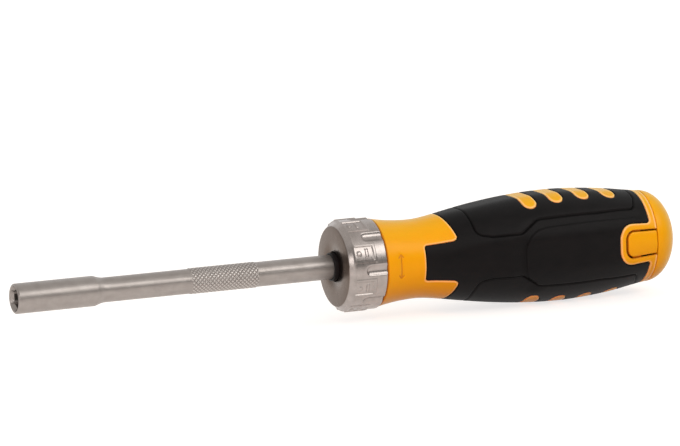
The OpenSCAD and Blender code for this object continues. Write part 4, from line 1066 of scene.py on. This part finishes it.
# Latch tabs: a crowned yellow button on each side, moulded with a lever that turns on a pin in the
# cap. Two lugs hook behind the handle's wall until the tab is pressed.
tab_gap = 0.03                            # the buttons end this far before the handle's rear
tab_nose, tab_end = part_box("latch_tab_left")[0].x / MM, rear_x - tab_gap
tab_inner = 13.4
tab_half, tab_corner, tab_edge, tab_edge_drop, tab_crown, tab_inset = 4.25, 2.7, 0.55, 0.42, 0.28, 0.05
lug_half, lug_x, lug_len, lug_thickness, lug_edge = 5.1, tab_nose + 2.6, 3.0, 1.0, 0.12
lug_shade = 0.6                           # the lugs lie deep in the gap round the tab
tab_step, tab_row_step, tab_net_step, tab_net_half, tab_net_margin = 0.3, 0.4, 0.6, 3.0, 0.5
tab_angle = angle_at_height((tab_nose + tab_end) / 2, tab_half)
tab_corners = [flat(tab_end, -tab_angle), flat(tab_nose, -tab_angle), flat(tab_nose, tab_angle),
               flat(tab_end, tab_angle)]
tab_outline = spaced(rounded(tab_corners, [tab_corner, tab_corner]), tab_step)
tab_points, tab_edges = [], []


def add_tab_line(line):
    """Adds one line of edges to the flat net of the tab."""
    start = len(tab_points)
    tab_points.extend(line.tolist())
    tab_edges.extend((start + k, start + k + 1) for k in range(len(line) - 1))


for reach in (0.0, 0.05, 0.13, 0.24, 0.38, 0.55, 0.8):
    ring = moved_sideways(tab_outline, -reach)
    ring[:, 0] = np.minimum(ring[:, 0], tab_end)
    add_tab_line(ring)
for reach in (0.0, 0.06, 0.16, 0.3):
    row = [(tab_end - reach, tab_outline[0, 1]), (tab_end - reach, tab_outline[-1, 1])]
    add_tab_line(spaced(row, tab_row_step))
tab_points += [(x, y)
               for x in np.arange(tab_nose + 2 * tab_net_step, tab_end - tab_net_margin, tab_net_step)
               for y in np.arange(-tab_net_half, tab_net_half + 0.1, tab_net_step)]
tab_verts, _, tab_faces, *_ = delaunay_2d_cdt([Vector(p) for p in tab_points], tab_edges, [], 0, 1e-5)
tab_verts = np.array([tuple(v) for v in tab_verts])
tab_zone = np.vstack([tab_outline, [(tab_end, tab_outline[-1, 1]), (tab_end, tab_outline[0, 1])]])
tab_faces = [f for f in tab_faces if within(tab_verts[list(f)].mean(axis=0)[None], tab_zone)[0]]
tab_near = distance_to(tab_verts, tab_outline)
tab_rear = tab_end - tab_verts[:, 0]
tab_depth = (rim_drop(tab_near, tab_edge, tab_edge_drop) + rim_drop(tab_rear, rear_rim, rear_rim_depth)
             + tab_inset + tab_crown * (tab_verts[:, 1] / (tab_angle * flat_scale)) ** 2)
tab_places = on_handle(tab_verts[:, 0], tab_verts[:, 1] / flat_scale, tab_depth)
# Painted shade round the tab's edges, where it meets the gap
tab_shade = share_near(tab_near, 0.2, 0.15) * (tab_rear > 0.1)       # the rear edge stays bright
lever_half, knuckle_r, knuckle_len = 3.0, 1.45, 6.0
# Corners of the lever from the button's inner face to the pin, by their side in X and in Y
lever_rows = {(-1, -1): (rear_x - 2.0, tab_inner + 0.05), (-1, 1): (rear_x - 0.4, tab_inner + 0.8),
              (1, -1): (pin_x - 0.9, pin_reach + 0.1), (1, 1): (pin_x + 0.6, pin_reach + 1.2)}


def tab_skin():
    """The crowned button with straight walls down to its inner face, as the tab on the side of -Y."""
    bm = bmesh.new()
    shaded = bm.verts.layers.float.new("engraved_and_shade")
    made = {}
    for k in sorted({k for f in tab_faces for k in f}):
        made[k] = bm.verts.new(tab_places[k])
        made[k][shaded] = tab_shade[k]
    for f in tab_faces:
        bm.faces.new([made[k] for k in f])
    extruded = bmesh.ops.extrude_face_region(bm, geom=bm.faces[:], use_keep_orig=True)
    for v in extruded["geom"]:
        if isinstance(v, bmesh.types.BMVert):
            v.co.y = -tab_inner
    return bm, shaded


for body, side, node in (("right_latch", 1, "latch_tab_right"), ("left_latch", -1, "latch_tab_left")):
    tab_bm, shaded = tab_skin()
    button = set(tab_bm.verts)
    block(tab_bm, (lug_x, -tab_inner - lug_thickness, -lug_half), (lug_x + lug_len, -tab_inner, lug_half),
          lug_edge)
    # Painted shade on the lugs, deep in the gap round the tab
    for v in set(tab_bm.verts) - button:
        v[shaded] = lug_shade
    lever = bmesh.ops.create_cube(tab_bm, size=1)
    for v in lever["verts"]:
        x, y = lever_rows[(1 if v.co.x > 0 else -1, 1 if v.co.y > 0 else -1)]
        v.co = Vector((x, -y, math.copysign(lever_half, v.co.z)))
    knuckle = bmesh.ops.create_cone(tab_bm, segments=32, radius1=knuckle_r, radius2=knuckle_r,
                                    depth=knuckle_len, cap_ends=True)
    bmesh.ops.translate(tab_bm, verts=knuckle["verts"], vec=(pin_x, -pin_reach, 0))
    if side > 0:
        bmesh.ops.scale(tab_bm, verts=tab_bm.verts, vec=(1, -1, 1))
    finished(tab_bm, node + "_moulded", yellow_core, body, node, sharp=50)
